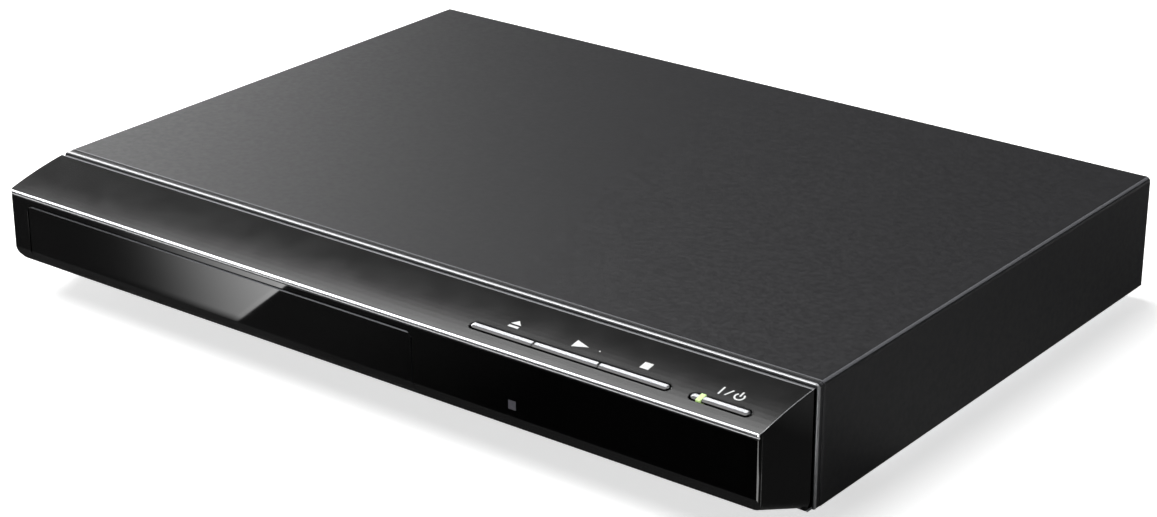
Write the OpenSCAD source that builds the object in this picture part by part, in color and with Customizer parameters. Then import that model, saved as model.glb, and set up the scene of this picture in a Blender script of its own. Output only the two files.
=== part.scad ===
// Slim disc player with a front-loading tray, millimetres.
// The front faces -Y, +X is to the right seen from the front, and z = 0 is the table.

/* [Case] */
// Width over the sides of the cover
case_w = 270; // [266:1:290]
// Height from the table to the top of the cover
case_h = 38.5; // [38.5:0.5:42]
// Depth from the front face to the tips of the rear sleeves
case_d = 207; // [206:1:225]
// Height of the rubber feet
foot_h = 3.5; // [3:0.25:4.5]
// Radius of a foot
foot_r = 9; // [7:0.5:12]
// How far the feet stand in from the sides and from the ends of the chassis
foot_inset = 27; // [20:1:45]
// Thickness of the sheet steel
sheet_t = 0.8; // [0.6:0.05:0.9]
// Clearance between the cover and what stands inside it
fit_gap = 0.4; // [0.3:0.05:0.6]

/* [Cover] */
// Outer radius of the folded edges of the cover
fold_r = 1.4; // [1.3:0.1:2.5]
// How far the front edge of the cover lies behind the front face
cover_setback = 23.5; // [23.2:0.1:26]
// Width of the lowered band along the front edge of the cover
band_w = 2.5; // [1.5:0.1:5]
// How far that band is lowered
band_drop = 0.15; // [0.1:0.05:0.25]
// Radius of the bead rolled along the front edge of the cover
bead_r = 0.5; // [0.45:0.05:0.6]
// Height of the cover's lower edge above the underside of the chassis
edge_rise = 0.5; // [0.2:0.1:1.5]
// Width of each tab that the cover turns down over the rear panel
tab_w = 14; // [10:1:20]
// Height of those tabs
tab_h = 7; // [6:0.5:8]

/* [Bezel] */
// Run of the sloped top of the bezel, front to back
slope_run = 22.1; // [21.9:0.1:22.5]
// Rise of that slope
slope_rise = 4.2; // [3.4:0.1:4.6]
// How far the slope is crowned above a straight line, at its middle
slope_crown = 0.45; // [0.3:0.05:0.5]
// How far the slope ends below the top of the cover
bezel_step = 0.65; // [0.4:0.05:0.9]
// Wall of the moulded bezel
bezel_wall = 2; // [1.6:0.1:2.4]
// Radius of the upper bead of the lip
lip_r = 0.42; // [0.3:0.02:0.6]
// Radius of the lower bead of the lip
rim_r = 0.28; // [0.2:0.02:0.4]
// How far the front face lies behind the lip
face_set = 0.15; // [0.1:0.05:0.3]
// Height of the edge where the front face turns into the chin, above the cover's lower edge
chin_top = 11.8; // [11.2:0.2:12.4]
// Height of the lower edge of the chin, above the cover's lower edge
chin_low = 7.7; // [6.9:0.2:8.3]
// Depth of the chin's lower edge behind the front
chin_run = 2.3; // [1.5:0.1:3]
// Height of the rear end of the bezel's underside above the cover's lower edge
belly_low = 0.5; // [0.4:0.1:1.5]
// How much narrower each end of the bezel is than the cover, at the front
end_inset = 1.55; // [1:0.05:2.5]
// How much narrower each end of the bezel is than the cover, at the back
end_inset_rear = 0.5; // [0.3:0.05:0.8]
// Radius of the bezel's lower corners, seen from the front
corner_r = 2.6; // [1.6:0.1:3.2]
// How far the neck of the bezel reaches behind the slope
neck_len = 6; // [4:0.5:7]

/* [Tray door] */
// Width of the door on the tray
door_w = 148.8; // [144:0.2:156]
// Distance from the left side of the case to the middle of the door
door_x = 83.3; // [82:0.1:84]
// Depth of the door's top edge below the lip of the bezel
door_drop = 3.4; // [3:0.1:4.4]
// Height of the door's lower edge above the cover's lower edge
door_low = 9.2; // [8.8:0.1:9.4]
// Thickness of the door
door_t = 2.4; // [2:0.1:3]
// Gap round the door
door_gap = 0.35; // [0.25:0.05:0.6]
// Radius of the door's upper corners
door_r = 2; // [1:0.1:3]
// Chamfer along the edges of the door
door_chamfer = 0.3; // [0.1:0.05:0.5]

/* [Buttons] */
// Distance of the button grooves behind the lip, along the slope
groove_v = 5.95; // [5:0.05:8]
// Width of the button grooves
groove_w = 3.3; // [3:0.1:4]
// Depth of the button grooves
groove_deep = 1.2; // [1.1:0.05:1.4]
// Gap between a button and its groove
key_gap = 0.6; // [0.4:0.05:0.65]
// Gap between the power light and the groove
light_gap = 0.2; // [0.15:0.05:0.35]
// Half the gap between two joined buttons
key_part = 0.2; // [0.1:0.02:0.25]
// How far a button stands above the slope
key_proud = 0.3; // [0.2:0.05:0.8]
// Run over which a button slopes down to its rounded end
key_end = 1; // [0.6:0.1:1.5]
// Travel of a button
key_travel = 0.6; // [0.3:0.05:0.7]
// Left end of the groove of the three transport buttons, from the right side of the case
keys_in = 96.5; // [94:0.5:99]
// Length of the eject button
eject_len = 20.9; // [18:0.1:22]
// Length of the play button
play_len = 21.3; // [19:0.2:23]
// Length of the stop button
stop_len = 22.3; // [19:0.1:23]
// Left end of the power button's groove, from the right side of the case
power_in = 26.4; // [25.4:0.2:27]
// Length of the power button
power_len = 18.6; // [15:0.1:19]
// Distance of the power light from the left end of the power button
light_x = 3.5; // [2.6:0.1:4]
// Width of the power light
light_w = 1.4; // [1:0.1:1.8]
// Distance of the remote sensor's window from the right side of the case
sensor_in = 78.2; // [76:0.2:80]
// Height of that window above the cover's lower edge
sensor_z = 15.1; // [14.4:0.1:16]
// Width of that window
sensor_w = 2.5; // [2:0.1:4]

/* [Disc and tray] */
// Diameter of the disc pocket
disc_d = 121; // [120.5:0.5:122]
// Diameter of the pocket for small discs
small_disc_d = 81; // [80.5:0.5:82]
// Distance of the disc's middle behind the front face
disc_back = 72; // [70:0.5:73]
// Travel of the tray
tray_travel = 132; // [110:1:134]
// Width of the tray without its runners
tray_w = 129; // [127:0.5:131]
// Height of the tray's underside above the chassis floor
tray_lift = 15.8; // [15.6:0.1:16.4]
// Thickness of the tray's floor
web_t = 1.2; // [1:0.1:1.5]
// Depth of the disc pocket
pocket_deep = 2; // [1.6:0.1:2.2]
// Depth of the pocket for small discs below it
small_deep = 1.2; // [0.8:0.1:1.4]
// How far a runner stands out of the tray's side
runner_w = 2; // [1.5:0.1:2.2]
// Height of a runner
runner_h = 2; // [1.6:0.1:2.4]
// Clearance of the sliding parts
slide_gap = 0.25; // [0.2:0.05:0.35]
// Room behind the tray, up to the rear panel
tray_room = 21.7; // [20:0.1:24]

/* [Loader] */
// Wall of the loader frame
frame_wall = 2; // [1.8:0.1:2.2]
// Distance of the loader frame's front wall behind the front face
frame_back = 24.5; // [24.2:0.1:24.8]
// Play of a wheel on its post
shaft_gap = 0.06; // [0.04:0.01:0.09]
// Module of the rack and of the wheel that drives it
rack_mod = 1; // [1:0.05:1.05]
// Teeth of the wheel that drives the rack
rack_teeth = 14; // [13:1:15]
// Module of the reduction wheels
train_mod = 0.8; // [0.75:0.05:0.8]
// Teeth of the large reduction wheel
wheel_teeth = 36; // [34:1:36]
// Teeth of the pinion under the pulley
pinion_teeth = 12; // [11:1:13]
// Radius of the large pulley
pulley_r = 10; // [9:0.25:10.5]
// Radius of the motor's pulley
motor_pulley_r = 3; // [2.5:0.1:4]
// Radius of the loading motor
motor_r = 10.2; // [9.5:0.1:10.4]
// Height of the loading motor
motor_h = 10; // [8:0.25:10.3]
// Thickness of the square belt
belt_t = 1.2; // [1:0.1:1.4]
// Sideways travel of the cam slider
cam_travel = 20; // [18:0.5:21]

/* [Disc drive] */
// How far the turntable rises to lift the disc off the tray
lift = 5.8; // [5:0.1:5.8]
// Distance of the hinge of the disc drive before the tray's rear end
hinge_room = 14; // [13:0.5:16]
// Radius of the turntable
table_r = 13; // [12:0.25:14]
// Radius of the centring cone, which fits a 15 mm hole
cone_r = 7.4; // [7.2:0.05:7.45]
// Height of the centring cone
cone_h = 1.6; // [1.2:0.1:1.7]
// Radius of the guide rods
rod_r = 1.5; // [1.2:0.05:1.6]
// Distance of each guide rod from the middle
rod_x = 22; // [21.6:0.1:22.2]
// Travel of the pickup
sled_travel = 34; // [30:0.5:34.5]
// Distance of the lens from the turntable's middle at its inner end
lens_in = 24; // [23.6:0.1:24.6]
// Radius of the lead screw
screw_r = 1.25; // [1:0.05:1.4]

/* [Boards and rear] */
// Thickness of the circuit boards
board_t = 1.6; // [1.2:0.1:1.8]
// Height of the posts under the circuit boards
post_h = 2.5; // [2:0.1:2.7]
// Width of the power board
power_w = 46; // [44:0.5:47]
// How far the phono sleeves stand out of the rear panel
jack_reach = 5; // [4:0.5:8]
// Outer radius of a phono sleeve
jack_r = 4.15; // [4.1:0.05:4.2]
// Distance between phono sleeves in a row
jack_pitch = 14; // [13:0.5:15]
// Distance of the middle of the phono block from the right side of the case
jacks_in = 84; // [83:0.5:85]
// Distance of the single digital sleeve from the right side of the case
digital_in = 120; // [117:0.5:125]
// Distance of the mains inlet from the right side of the case
inlet_in = 28; // [27:0.5:31]
// Distance between the two pins of the mains inlet
inlet_pitch = 8.6; // [8.4:0.1:8.8]
// Radius of each lobe of the mains inlet
inlet_r = 4.3; // [4.2:0.05:4.6]
// Depth of the mains inlet
inlet_deep = 11; // [10:0.5:13]

/* [Hidden] */
$fn = 48;
eps = 0.01;

// Levels and outlines shared by many pieces
front_y = -case_d / 2;
rear_y = case_d / 2 - jack_reach;
panel_y = rear_y - sheet_t;
cover_y = front_y + cover_setback;
floor_z = foot_h + sheet_t;
edge_z = foot_h + edge_rise;
inner_x = case_w / 2 - sheet_t - fit_gap;
inner_z = case_h - sheet_t - fit_gap;
slope_top = case_h - bezel_step;
lip_z = slope_top - slope_rise;
slope_a = atan(slope_rise / slope_run);
slope_len = norm([slope_run, slope_rise]);
crown_r = pow(slope_len, 2) / (8 * slope_crown) + slope_crown / 2;
bezel_y = front_y + slope_run;
chassis_y = bezel_y + 0.3;
door_mid = door_x - case_w / 2;
keys_x = case_w / 2 - keys_in;
power_x = case_w / 2 - power_in;
sensor_x = case_w / 2 - sensor_in;
jacks_x = case_w / 2 - jacks_in;
digital_x = case_w / 2 - digital_in;
inlet_x = case_w / 2 - inlet_in;
door_top = lip_z - door_drop;
door_bottom = edge_z + door_low;
door_back = front_y + face_set + door_t;

// Tray
disc_y = front_y + disc_back;
tray_half = tray_w / 2;
tray_z = floor_z + tray_lift;
tray_top = tray_z + web_t + small_deep + pocket_deep;
tray_end = panel_y - tray_room;
skirt_h = 3.2;
skirt_t = 2;
runner_top = tray_z - 0.6;

// Loader frame
frame_y = front_y + frame_back;
frame_end = tray_end + 4;
frame_half = tray_half + runner_w + frame_wall;
frame_base = floor_z + 0.8;
frame_floor = frame_base + 2;
frame_top = tray_top + 2.3;

// Gear train: the rack wheel and the large wheel share one post
rack_h = 5.7;
rack_pr = rack_mod * rack_teeth / 2;
wheel_pr = train_mod * wheel_teeth / 2;
pinion_pr = train_mod * pinion_teeth / 2;
tooth_play = 0.12;
rack_x = door_mid + 55;
gear_x = rack_x - rack_pr;
gear_y = frame_y + frame_wall + wheel_pr + train_mod + 0.8;
train_a = 10;
pulley_x = gear_x - (wheel_pr + pinion_pr) * cos(train_a);
pulley_y = gear_y - (wheel_pr + pinion_pr) * sin(train_a);
post_r = 1.5;
motor_x = pulley_x - 33.5;
motor_y = frame_y + frame_wall + motor_r + 0.6;
pulley_z = tray_z - 4.5;
pulley_top = tray_z - 1.7;
wheel_z = frame_floor + 3;
wheel_top = wheel_z + 3.2;
pinion_z = wheel_z - 0.4;

// Cam slider and the hinge of the disc drive
hinge_y = tray_end - hinge_room;
hinge_back = hinge_y - disc_y;
hinge_z = floor_z + 10.7;
lift_a = asin(lift / hinge_back);
slider_t = 3;
slider_mid = disc_y - 21.5;
cam_pin_r = 1.25;
cam_pin_z = hinge_z + 2.1;
cam_pin_low = hinge_z - (hinge_y - slider_mid) * tan(lift_a) + (cam_pin_z - hinge_z) / cos(lift_a);
cam_pins = [-26, -4];
slot_half = cam_pin_r + 0.35;

// Disc drive, at its raised level
seat_z = tray_top - pocket_deep + 0.9;
plate_top = tray_z - 1.5;
plate_t = 1.2;
plate_z = plate_top - plate_t;
bush_h = 2;
holder_top = plate_z - bush_h;
holder_z = holder_top - 3;
holder_half = 30;
holder_front = disc_y - 18;
holder_end = hinge_y + 4;
bush_x = 25.6;
bush_front = disc_y - 10;
bush_back = hinge_y - 8.5;
bush_r = 3.6;
rod_z = plate_top - 2.2;
rod_front = disc_y + 12;
rod_back = hinge_y - 14;
lens_y = disc_y + lens_in;
sled_front = lens_y - 9;
sled_back = lens_y + 17;
sled_z = plate_top - 4;
sled_top = plate_top - 0.4;
sled_half = rod_x + rod_r + 1;
lead_x = 13;
lead_z = sled_z - screw_r - 1.15;
window_half = sled_half + 0.5;

// Clamper
clamp_z = tray_top + 0.6;
bridge_t = 1.2;
bridge_half = 17;

// Boards and rear
board_z = floor_z + post_h;
board_top = board_z + board_t;
ring_r = jack_r + 0.85;
jack_low = board_top + ring_r + 0.8;
jack_high = inner_z - ring_r - 2.2;
neck_r = jack_r - 0.4;
core_r = jack_r - 0.9;
ring_t = 1.2;
inlet_z = board_top + 8.6;
power_xr = [inner_x - 3.8 - power_w, inner_x - 3.8];
main_x = [door_mid + frame_half + 9.2, power_xr[0] - 6];
main_y = [disc_y + 1.5, panel_y - 1.2];
strip_y = frame_end + 1.5;
power_yr = [front_y + 37.5, panel_y - 3.7];

// Basic shapes
module box(xr, yr, zr) {
    translate([xr[0], yr[0], zr[0]])
        cube([xr[1] - xr[0], yr[1] - yr[0], zr[1] - zr[0]]);
}

module rect(xr, yr) {
    translate([xr[0], yr[0]]) square([xr[1] - xr[0], yr[1] - yr[0]]);
}

// A profile in Y and Z, drawn along X
module along_x(x0, x1) {
    translate([x0, 0, 0]) rotate([90, 0, 90]) linear_extrude(x1 - x0) children();
}

// A profile in X and Z, drawn along Y
module along_y(y0, y1) {
    translate([0, y1, 0]) rotate([90, 0, 0]) linear_extrude(y1 - y0) children();
}

module along_z(z0, z1) {
    translate([0, 0, z0]) linear_extrude(z1 - z0) children();
}

module disc(x, y, z0, z1, r) {
    translate([x, y, z0]) cylinder(h = z1 - z0, r = r);
}

// A round bar along X or Y
module bar_x(x0, x1, y, z, r) {
    translate([x0, y, z]) rotate([0, 90, 0]) cylinder(h = x1 - x0, r = r);
}

module bar_y(x, y0, y1, z, r) {
    translate([x, y0, z]) rotate([-90, 0, 0]) cylinder(h = y1 - y0, r = r);
}

module stadium(x0, x1, w) {
    rect([x0 + w / 2, x1 - w / 2], [-w / 2, w / 2]);
    for (x = [x0 + w / 2, x1 - w / 2]) translate([x, 0]) circle(w / 2);
}

// Height of the crown over the slope's chord, and its tilt from the chord, at a distance up it
function crown_at(v) = sqrt(pow(crown_r, 2) - pow(v - slope_len / 2, 2)) - crown_r + slope_crown;
function crown_tilt(v) = asin((slope_len / 2 - v) / crown_r);

// Frame of the sloped top where the buttons are: x along the case, y up the slope, z out of it
key_a = slope_a + crown_tilt(groove_v);
key_y = front_y + groove_v * cos(slope_a) - crown_at(groove_v) * sin(slope_a);
key_z = lip_z + groove_v * sin(slope_a) + crown_at(groove_v) * cos(slope_a);

module on_slope() {
    translate([0, key_y, key_z]) rotate([key_a, 0, 0]) translate([0, -groove_v, 0]) children();
}

// A point given in that frame, as Y and Z
function slope_point(v, w) = [key_y + (v - groove_v) * cos(key_a) - w * sin(key_a),
    key_z + (v - groove_v) * sin(key_a) + w * cos(key_a)];

// The disc drive hangs on its hinge, turned down from its raised level
module lowered() {
    translate([door_mid, hinge_y, hinge_z]) rotate([lift_a, 0, 0])
        translate([0, -hinge_y, -hinge_z]) children();
}

module pan_screw(head_r, head_h, shank_r, len) {
    difference() {
        cylinder(h = head_h, r = head_r);
        for (a = [0, 90]) rotate(a)
            translate([-head_r * 0.55, -0.35, head_h / 2]) cube([head_r * 1.1, 0.7, head_h]);
    }
    translate([0, 0, -len]) cylinder(h = len + eps, r = shank_r);
}

// Cover
module cover_outline(inset) {
    r = fold_r - inset;
    half = case_w / 2 - inset;
    top = case_h - inset;
    rect([-half, half], [edge_z, top - r]);
    rect([r - half, half - r], [edge_z, top]);
    for (s = [-1, 1]) translate([s * (half - r), top - r]) circle(r);
}

module cover_section(inset, t) {
    half = case_w / 2 - inset - t;
    difference() {
        cover_outline(inset);
        cover_outline(inset + t);
        rect([-half, half], [edge_z - 1, edge_z + 1]);
    }
}

module cover_bead() {
    inset = band_drop + sheet_t / 2;
    half = case_w / 2 - fold_r;
    top = case_h - fold_r;
    y = cover_y + bead_r;
    bar_x(-half, half, y, case_h - inset, bead_r);
    for (s = [-1, 1]) {
        disc(s * (case_w / 2 - inset), y, edge_z, top, bead_r);
        translate([s * half, y, top]) rotate([90, 0, 0]) rotate(s > 0 ? 0 : 90)
            rotate_extrude(angle = 90) translate([fold_r - inset, 0]) circle(bead_r);
    }
}

tab_xs = [35 - case_w / 2, 99 - case_w / 2, case_w / 2 - 51];
tab_screw_z = case_h - tab_h + 3.2;
screw_hole_r = 1.6;

module top_cover() color("#3c3b40") {
    along_y(cover_y + band_w, rear_y + sheet_t) cover_section(0, sheet_t);
    along_y(cover_y + bead_r, cover_y + band_w + eps) cover_section(band_drop, sheet_t);
    cover_bead();
    for (x = tab_xs) difference() {
        box([x - tab_w / 2, x + tab_w / 2], [rear_y, rear_y + sheet_t],
            [case_h - tab_h, case_h - sheet_t + eps]);
        bar_y(x, rear_y - 1, rear_y + sheet_t + 1, tab_screw_z, screw_hole_r);
    }
}

// Chassis
chassis_half = inner_x - 0.1;
flange_h = 12;
frame_tabs_y = [frame_y + 14, frame_end - 14];
frame_tab_x = frame_half + 5;
boss_r = 4;

module at_frame_tabs() {
    for (s = [-1, 1], y = frame_tabs_y) translate([door_mid + s * frame_tab_x, y, 0]) children();
}

main_posts = [[main_x[0] + 4, main_y[0] + 4], [main_x[1] - 4, main_y[0] + 4],
    [main_x[0] + 4, main_y[1] - 22], [main_x[1] - 4, main_y[1] - 22]];
power_posts = [[power_xr[0] + 4, power_yr[0] + 4], [power_xr[1] - 4, power_yr[0] + 4],
    [power_xr[0] + 4, power_yr[1] - 26], [power_xr[1] - 4, power_yr[1] - 26]];

module at_posts() {
    for (p = concat(main_posts, power_posts)) translate([p[0], p[1], 0]) children();
}

module at_feet() {
    for (s = [-1, 1], y = [chassis_y + foot_inset - 5, panel_y - foot_inset])
        translate([s * (inner_x - foot_inset), y, 0]) children();
}

module bottom_chassis() color("#b9bcc0") {
    difference() {
        union() {
            box([-chassis_half, chassis_half], [chassis_y, panel_y], [foot_h, floor_z]);
            for (s = [-1, 1]) mirror([s > 0 ? 0 : 1, 0, 0])
                box([chassis_half - sheet_t, chassis_half],
                    [chassis_y + neck_len + 1, panel_y], [foot_h, foot_h + flange_h]);
            box([-chassis_half + 3, chassis_half - 3], [chassis_y, chassis_y + sheet_t],
                [foot_h, floor_z + 6]);
            box([-chassis_half, chassis_half], [panel_y - sheet_t, panel_y],
                [foot_h, floor_z + 2.2]);
            at_frame_tabs() disc(0, 0, foot_h, frame_base, boss_r);
            at_posts() disc(0, 0, foot_h, board_z, 3);
        }
        at_frame_tabs() disc(0, 0, foot_h - 1, frame_base + 1, 1.25);
        at_posts() disc(0, 0, foot_h - 1, board_z + 1, 1.25);
        at_feet() disc(0, 0, foot_h - 1, floor_z + 1, 2.5 + slide_gap);
        // Air slots under the power board
        for (i = [0:8]) box([power_xr[0] + 10, power_xr[1] - 10],
            [-38 + i * 8, -35 + i * 8], [foot_h - 1, floor_z + 1]);
    }
}

module feet() color("#1b1b1c") {
    at_feet() {
        rotate_extrude() polygon([[0, 0.6], [foot_r - 3.5, 0.6], [foot_r - 3, 0], [foot_r - 1, 0],
            [foot_r, 1], [foot_r, foot_h], [0, foot_h]]);
        disc(0, 0, foot_h - eps, floor_z + 0.8, 2.5);
    }
}

// Rear panel
jack_xs = [jacks_x - jack_pitch, jacks_x, jacks_x + jack_pitch];

module at_jacks() {
    for (x = jack_xs, z = [jack_low, jack_high]) translate([x, 0, z]) children();
    translate([digital_x, 0, jack_low]) children();
}

module inlet_outline(grow) {
    for (s = [-1, 1]) translate([inlet_x + s * inlet_pitch / 2, inlet_z]) circle(inlet_r + grow);
    rect([inlet_x - inlet_pitch / 2, inlet_x + inlet_pitch / 2],
        [inlet_z - inlet_r * 0.8 - grow, inlet_z + inlet_r * 0.8 + grow]);
}

inlet_half = [inlet_pitch / 2 + inlet_r + 2.4, inlet_r + 2.4];

vent_x = -case_w / 2 + 19;

module rear_panel() color("#8d9094") {
    difference() {
        union() {
            box([-chassis_half, chassis_half], [panel_y, rear_y], [foot_h, inner_z]);
            box([-chassis_half + 2, chassis_half - 2], [panel_y - 9, panel_y + eps],
                [inner_z - sheet_t, inner_z]);
        }
        at_jacks() bar_y(0, panel_y - 1, rear_y + 1, 0, ring_r + 0.15);
        box([inlet_x - inlet_half[0] - 0.2, inlet_x + inlet_half[0] + 0.2],
            [panel_y - 1, rear_y + 1],
            [inlet_z - inlet_half[1] - 0.2, inlet_z + inlet_half[1] + 0.2]);
        for (x = tab_xs) bar_y(x, panel_y - 1, rear_y + 1, tab_screw_z, 1.15);
        // Air slots behind the loader
        for (i = [0:13], z = [floor_z + 5.5, floor_z + 16])
            box([vent_x + i * 7, vent_x + 3 + i * 7], [panel_y - 1, rear_y + 1], [z, z + 7]);
    }
}

module cover_screws() color("#27272a") {
    for (x = tab_xs) translate([x, rear_y + sheet_t, tab_screw_z]) rotate([-90, 0, 0])
        pan_screw(2.8, 1.6, 1.1, 5.5);
}

// Bezel
// The crowned slope, from its lip to its rear edge, lowered square to itself by a depth
crown_steps = 12;
function slope_arc(depth, v0, v1) = [for (k = [0:crown_steps])
    let (v = v0 + (v1 - v0) * k / crown_steps, a = slope_a + crown_tilt(v))
    [v * cos(slope_a) - crown_at(v) * sin(slope_a) + depth * sin(a),
     lip_z + v * sin(slope_a) + crown_at(v) * cos(slope_a) - depth * cos(a)]];
lip_mid = slope_arc(0, lip_r, slope_len)[0][1] - lip_r + 0.05;
rim_mid = lip_mid - lip_r - rim_r + 0.08;
front_half = case_w / 2 - end_inset;
rear_half = case_w / 2 - end_inset_rear;

module bezel_profile() {
    polygon(concat(slope_arc(0, lip_r, slope_len), [[slope_run, edge_z + belly_low],
        [slope_run - 0.6, edge_z + belly_low], [chin_run, edge_z + chin_low],
        [face_set, edge_z + chin_top], [face_set, lip_mid], [lip_r, lip_mid]]));
    translate([lip_r, lip_mid]) circle(lip_r);
    translate([rim_r + 0.03, rim_mid]) circle(rim_r);
}

module bezel_hollow() {
    front = face_set + bezel_wall;
    top = slope_arc(bezel_wall, front, slope_len);
    polygon(concat([[front, top[0][1]]], top, [[slope_run + 1, slope_top - bezel_wall],
        [slope_run + 1, edge_z + belly_low + bezel_wall],
        [slope_run - 0.6, edge_z + belly_low + bezel_wall],
        [chin_run + bezel_wall, edge_z + chin_low + bezel_wall],
        [front, edge_z + chin_top + bezel_wall / 2]]));
}

// Plan of the bezel: it narrows a little to the front and its corners are rounded
module bezel_plan() {
    r = 1.2;
    difference() {
        polygon([[-front_half, 0], [front_half, 0], [rear_half, slope_run + 1],
            [-rear_half, slope_run + 1]]);
        for (s = [-1, 1]) difference() {
            translate([s * front_half, 0]) square(2 * r, center = true);
            translate([s * (front_half - r), r]) circle(r);
            translate([s * (front_half - 2 * r), r]) square(2 * r, center = true);
            translate([s * (front_half - r), 2 * r]) square([4 * r, 2 * r], center = true);
        }
    }
}

// What a rounded corner leaves out: the corner stands at the origin, its sides to the left and up
module corner_waste(y0, y1) {
    along_y(y0, y1) difference() {
        translate([-corner_r, -2]) square([corner_r + 2, corner_r + 2]);
        translate([-corner_r, corner_r]) circle(corner_r);
    }
}

module bezel_body() {
    taper_a = atan((rear_half - front_half) / (slope_run + 1));
    belly_run = slope_run - 0.6 - chin_run;
    belly_a = atan((chin_low - belly_low) / belly_run);
    translate([0, front_y, 0]) difference() {
        intersection() {
            along_x(-case_w / 2, case_w / 2) bezel_profile();
            along_z(0, case_h) bezel_plan();
        }
        for (s = [-1, 1]) mirror([s > 0 ? 0 : 1, 0, 0])
            translate([front_half + chin_run * tan(taper_a), chin_run, edge_z + chin_low]) {
                corner_waste(-chin_run - 1, 0);
                rotate([0, 0, -taper_a]) rotate([-belly_a, 0, 0])
                    corner_waste(-corner_r * sin(belly_a), belly_run * 1.2);
            }
    }
}

module door_outline(grow) {
    x0 = door_mid - door_w / 2 - grow;
    x1 = door_mid + door_w / 2 + grow;
    r = door_r + grow;
    z0 = door_bottom - grow;
    z1 = door_top + grow;
    rect([x0, x1], [z0, z1 - r]);
    rect([x0 + r, x1 - r], [z0, z1]);
    for (x = [x0 + r, x1 - r]) translate([x, z1 - r]) circle(r);
}

tray_mouth = [tray_z - rack_h - 0.7, tray_top + 0.9];
mouth_half = tray_half + runner_w + 0.7;

// The grooves of the buttons, seen square on the slope
module key_grooves(inset) {
    keys_end = keys_x + eject_len + play_len + stop_len;
    stadium(keys_x + inset, keys_end - inset, groove_w - 2 * inset);
    stadium(power_x + inset, power_x + power_len - inset, groove_w - 2 * inset);
}

// Each button: its name's place, where its cap starts and ends, and where its stem is
eject_span = [keys_x, keys_x + eject_len];
play_span = [eject_span[1], eject_span[1] + play_len];
stop_span = [play_span[1], play_span[1] + stop_len];
power_span = [power_x, power_x + power_len];
spans = [eject_span, play_span, stop_span, power_span];
stem_w = 5;
stem_t = 1.6;
stem_low = -(bezel_wall + 1.4);
function mid(span) = (span[0] + span[1]) / 2;

board_posts = [keys_x + 5.2, eject_span[1], play_span[1], power_x - 3.5];
front_board_top = -6.2;
front_board_t = 1.4;
post_v = 15.5;

module front_bezel() color("#0e0e10") {
    neck_t = 1.6;
    difference() {
        union() {
            difference() {
                bezel_body();
                translate([0, front_y, 0])
                    along_x(bezel_wall - front_half, front_half - bezel_wall) bezel_hollow();
            }
            // Rim behind the door, which stops it flush
            intersection() {
                bezel_body();
                box([door_mid - door_w / 2 - 3, door_mid + door_w / 2 + 3],
                    [front_y + face_set + eps, door_back + 2], [door_bottom - 4, door_top + 2.6]);
            }
            // Neck that the cover slides over
            difference() {
                box([-inner_x, inner_x], [bezel_y - 1, bezel_y + neck_len], [floor_z, inner_z]);
                box([neck_t - inner_x, inner_x - neck_t], [bezel_y - 2, bezel_y + neck_len + 1],
                    [floor_z - 1, inner_z - neck_t]);
            }
            // Posts for the front board
            on_slope() for (x = board_posts)
                disc(x, post_v, front_board_top, -bezel_wall / 2, 2.4);
        }
        along_y(front_y - 1, door_back + slide_gap) door_outline(door_gap);
        box([door_mid - mouth_half, door_mid + mouth_half], [front_y, door_back + 5], tray_mouth);
        on_slope() {
            translate([0, groove_v, 0]) along_z(-groove_deep, 3) key_grooves(0);
            for (s = spans) box([mid(s) - stem_w / 2 - 0.3, mid(s) + stem_w / 2 + 0.3],
                [groove_v - stem_t / 2 - 0.3, groove_v + stem_t / 2 + 0.3], [-bezel_wall - 2, 0]);
            light = power_x + light_x;
            box([light - light_w / 2 - 0.3, light + light_w / 2 + 0.3],
                [groove_v - light_w / 2 - 0.3, groove_v + light_w / 2 + 0.3], [-bezel_wall - 2, 0]);
            for (x = board_posts) disc(x, post_v, front_board_top - 1, -bezel_wall, 0.9);
        }
        // Shadow groove under the lip
        box([-case_w / 2, case_w / 2], [front_y - 1, front_y + face_set + 0.25],
            [rim_mid - rim_r - 0.3, rim_mid - rim_r]);
        sensor_hole(0.05);
    }
}

module sensor_hole(grow) {
    box([sensor_x - sensor_w / 2 - grow, sensor_x + sensor_w / 2 + grow],
        [front_y - 1, front_y + face_set + bezel_wall + 1],
        [edge_z + sensor_z - sensor_w / 2 - grow, edge_z + sensor_z + sensor_w / 2 + grow]);
}

module sensor_window() color("#2a1a1e") {
    intersection() {
        sensor_hole(0);
        box([0, case_w / 2], [front_y + face_set - 0.05, front_y + face_set + bezel_wall],
            [0, case_h]);
    }
}

// A button's cap: its outline on the slope, crowned along the back; a rounded end slopes down
module key_cap(span, ends) {
    half = groove_w / 2 - key_gap;
    low = key_travel - groove_deep + 0.1;
    x0 = span[0] + (ends[0] ? key_gap : key_part);
    x1 = span[1] - (ends[1] ? key_gap : key_part);
    top = key_proud + 0.1;
    end_z = key_proud * 0.15;
    intersection() {
        translate([0, groove_v, 0]) along_z(-groove_deep, 3) intersection() {
            key_grooves(key_gap);
            rect([x0, x1], [-groove_w, groove_w]);
        }
        along_y(0, groove_v + groove_w) polygon([[x0 - eps, low], [x0 - eps, ends[0] ? end_z : top],
            [x0 + key_end, top], [x1 - key_end, top], [x1 + eps, ends[1] ? end_z : top],
            [x1 + eps, low]]);
        translate([0, groove_v, 0]) along_x(span[0], span[1])
            polygon([[-half, low], [-half, 0], [-half * 0.3, key_proud],
                [half * 0.7, key_proud], [half, key_proud * 0.4], [half, low]]);
    }
}

module key(span, ends) {
    on_slope() {
        key_cap(span, ends);
        box([mid(span) - stem_w / 2, mid(span) + stem_w / 2],
            [groove_v - stem_t / 2, groove_v + stem_t / 2], [stem_low, 0]);
    }
}

module eject_button() color("#c9cacc") key(eject_span, [true, false]);

module play_button() color("#c9cacc") key(play_span, [false, false]);

module stop_button() color("#c9cacc") key(stop_span, [false, true]);

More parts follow.
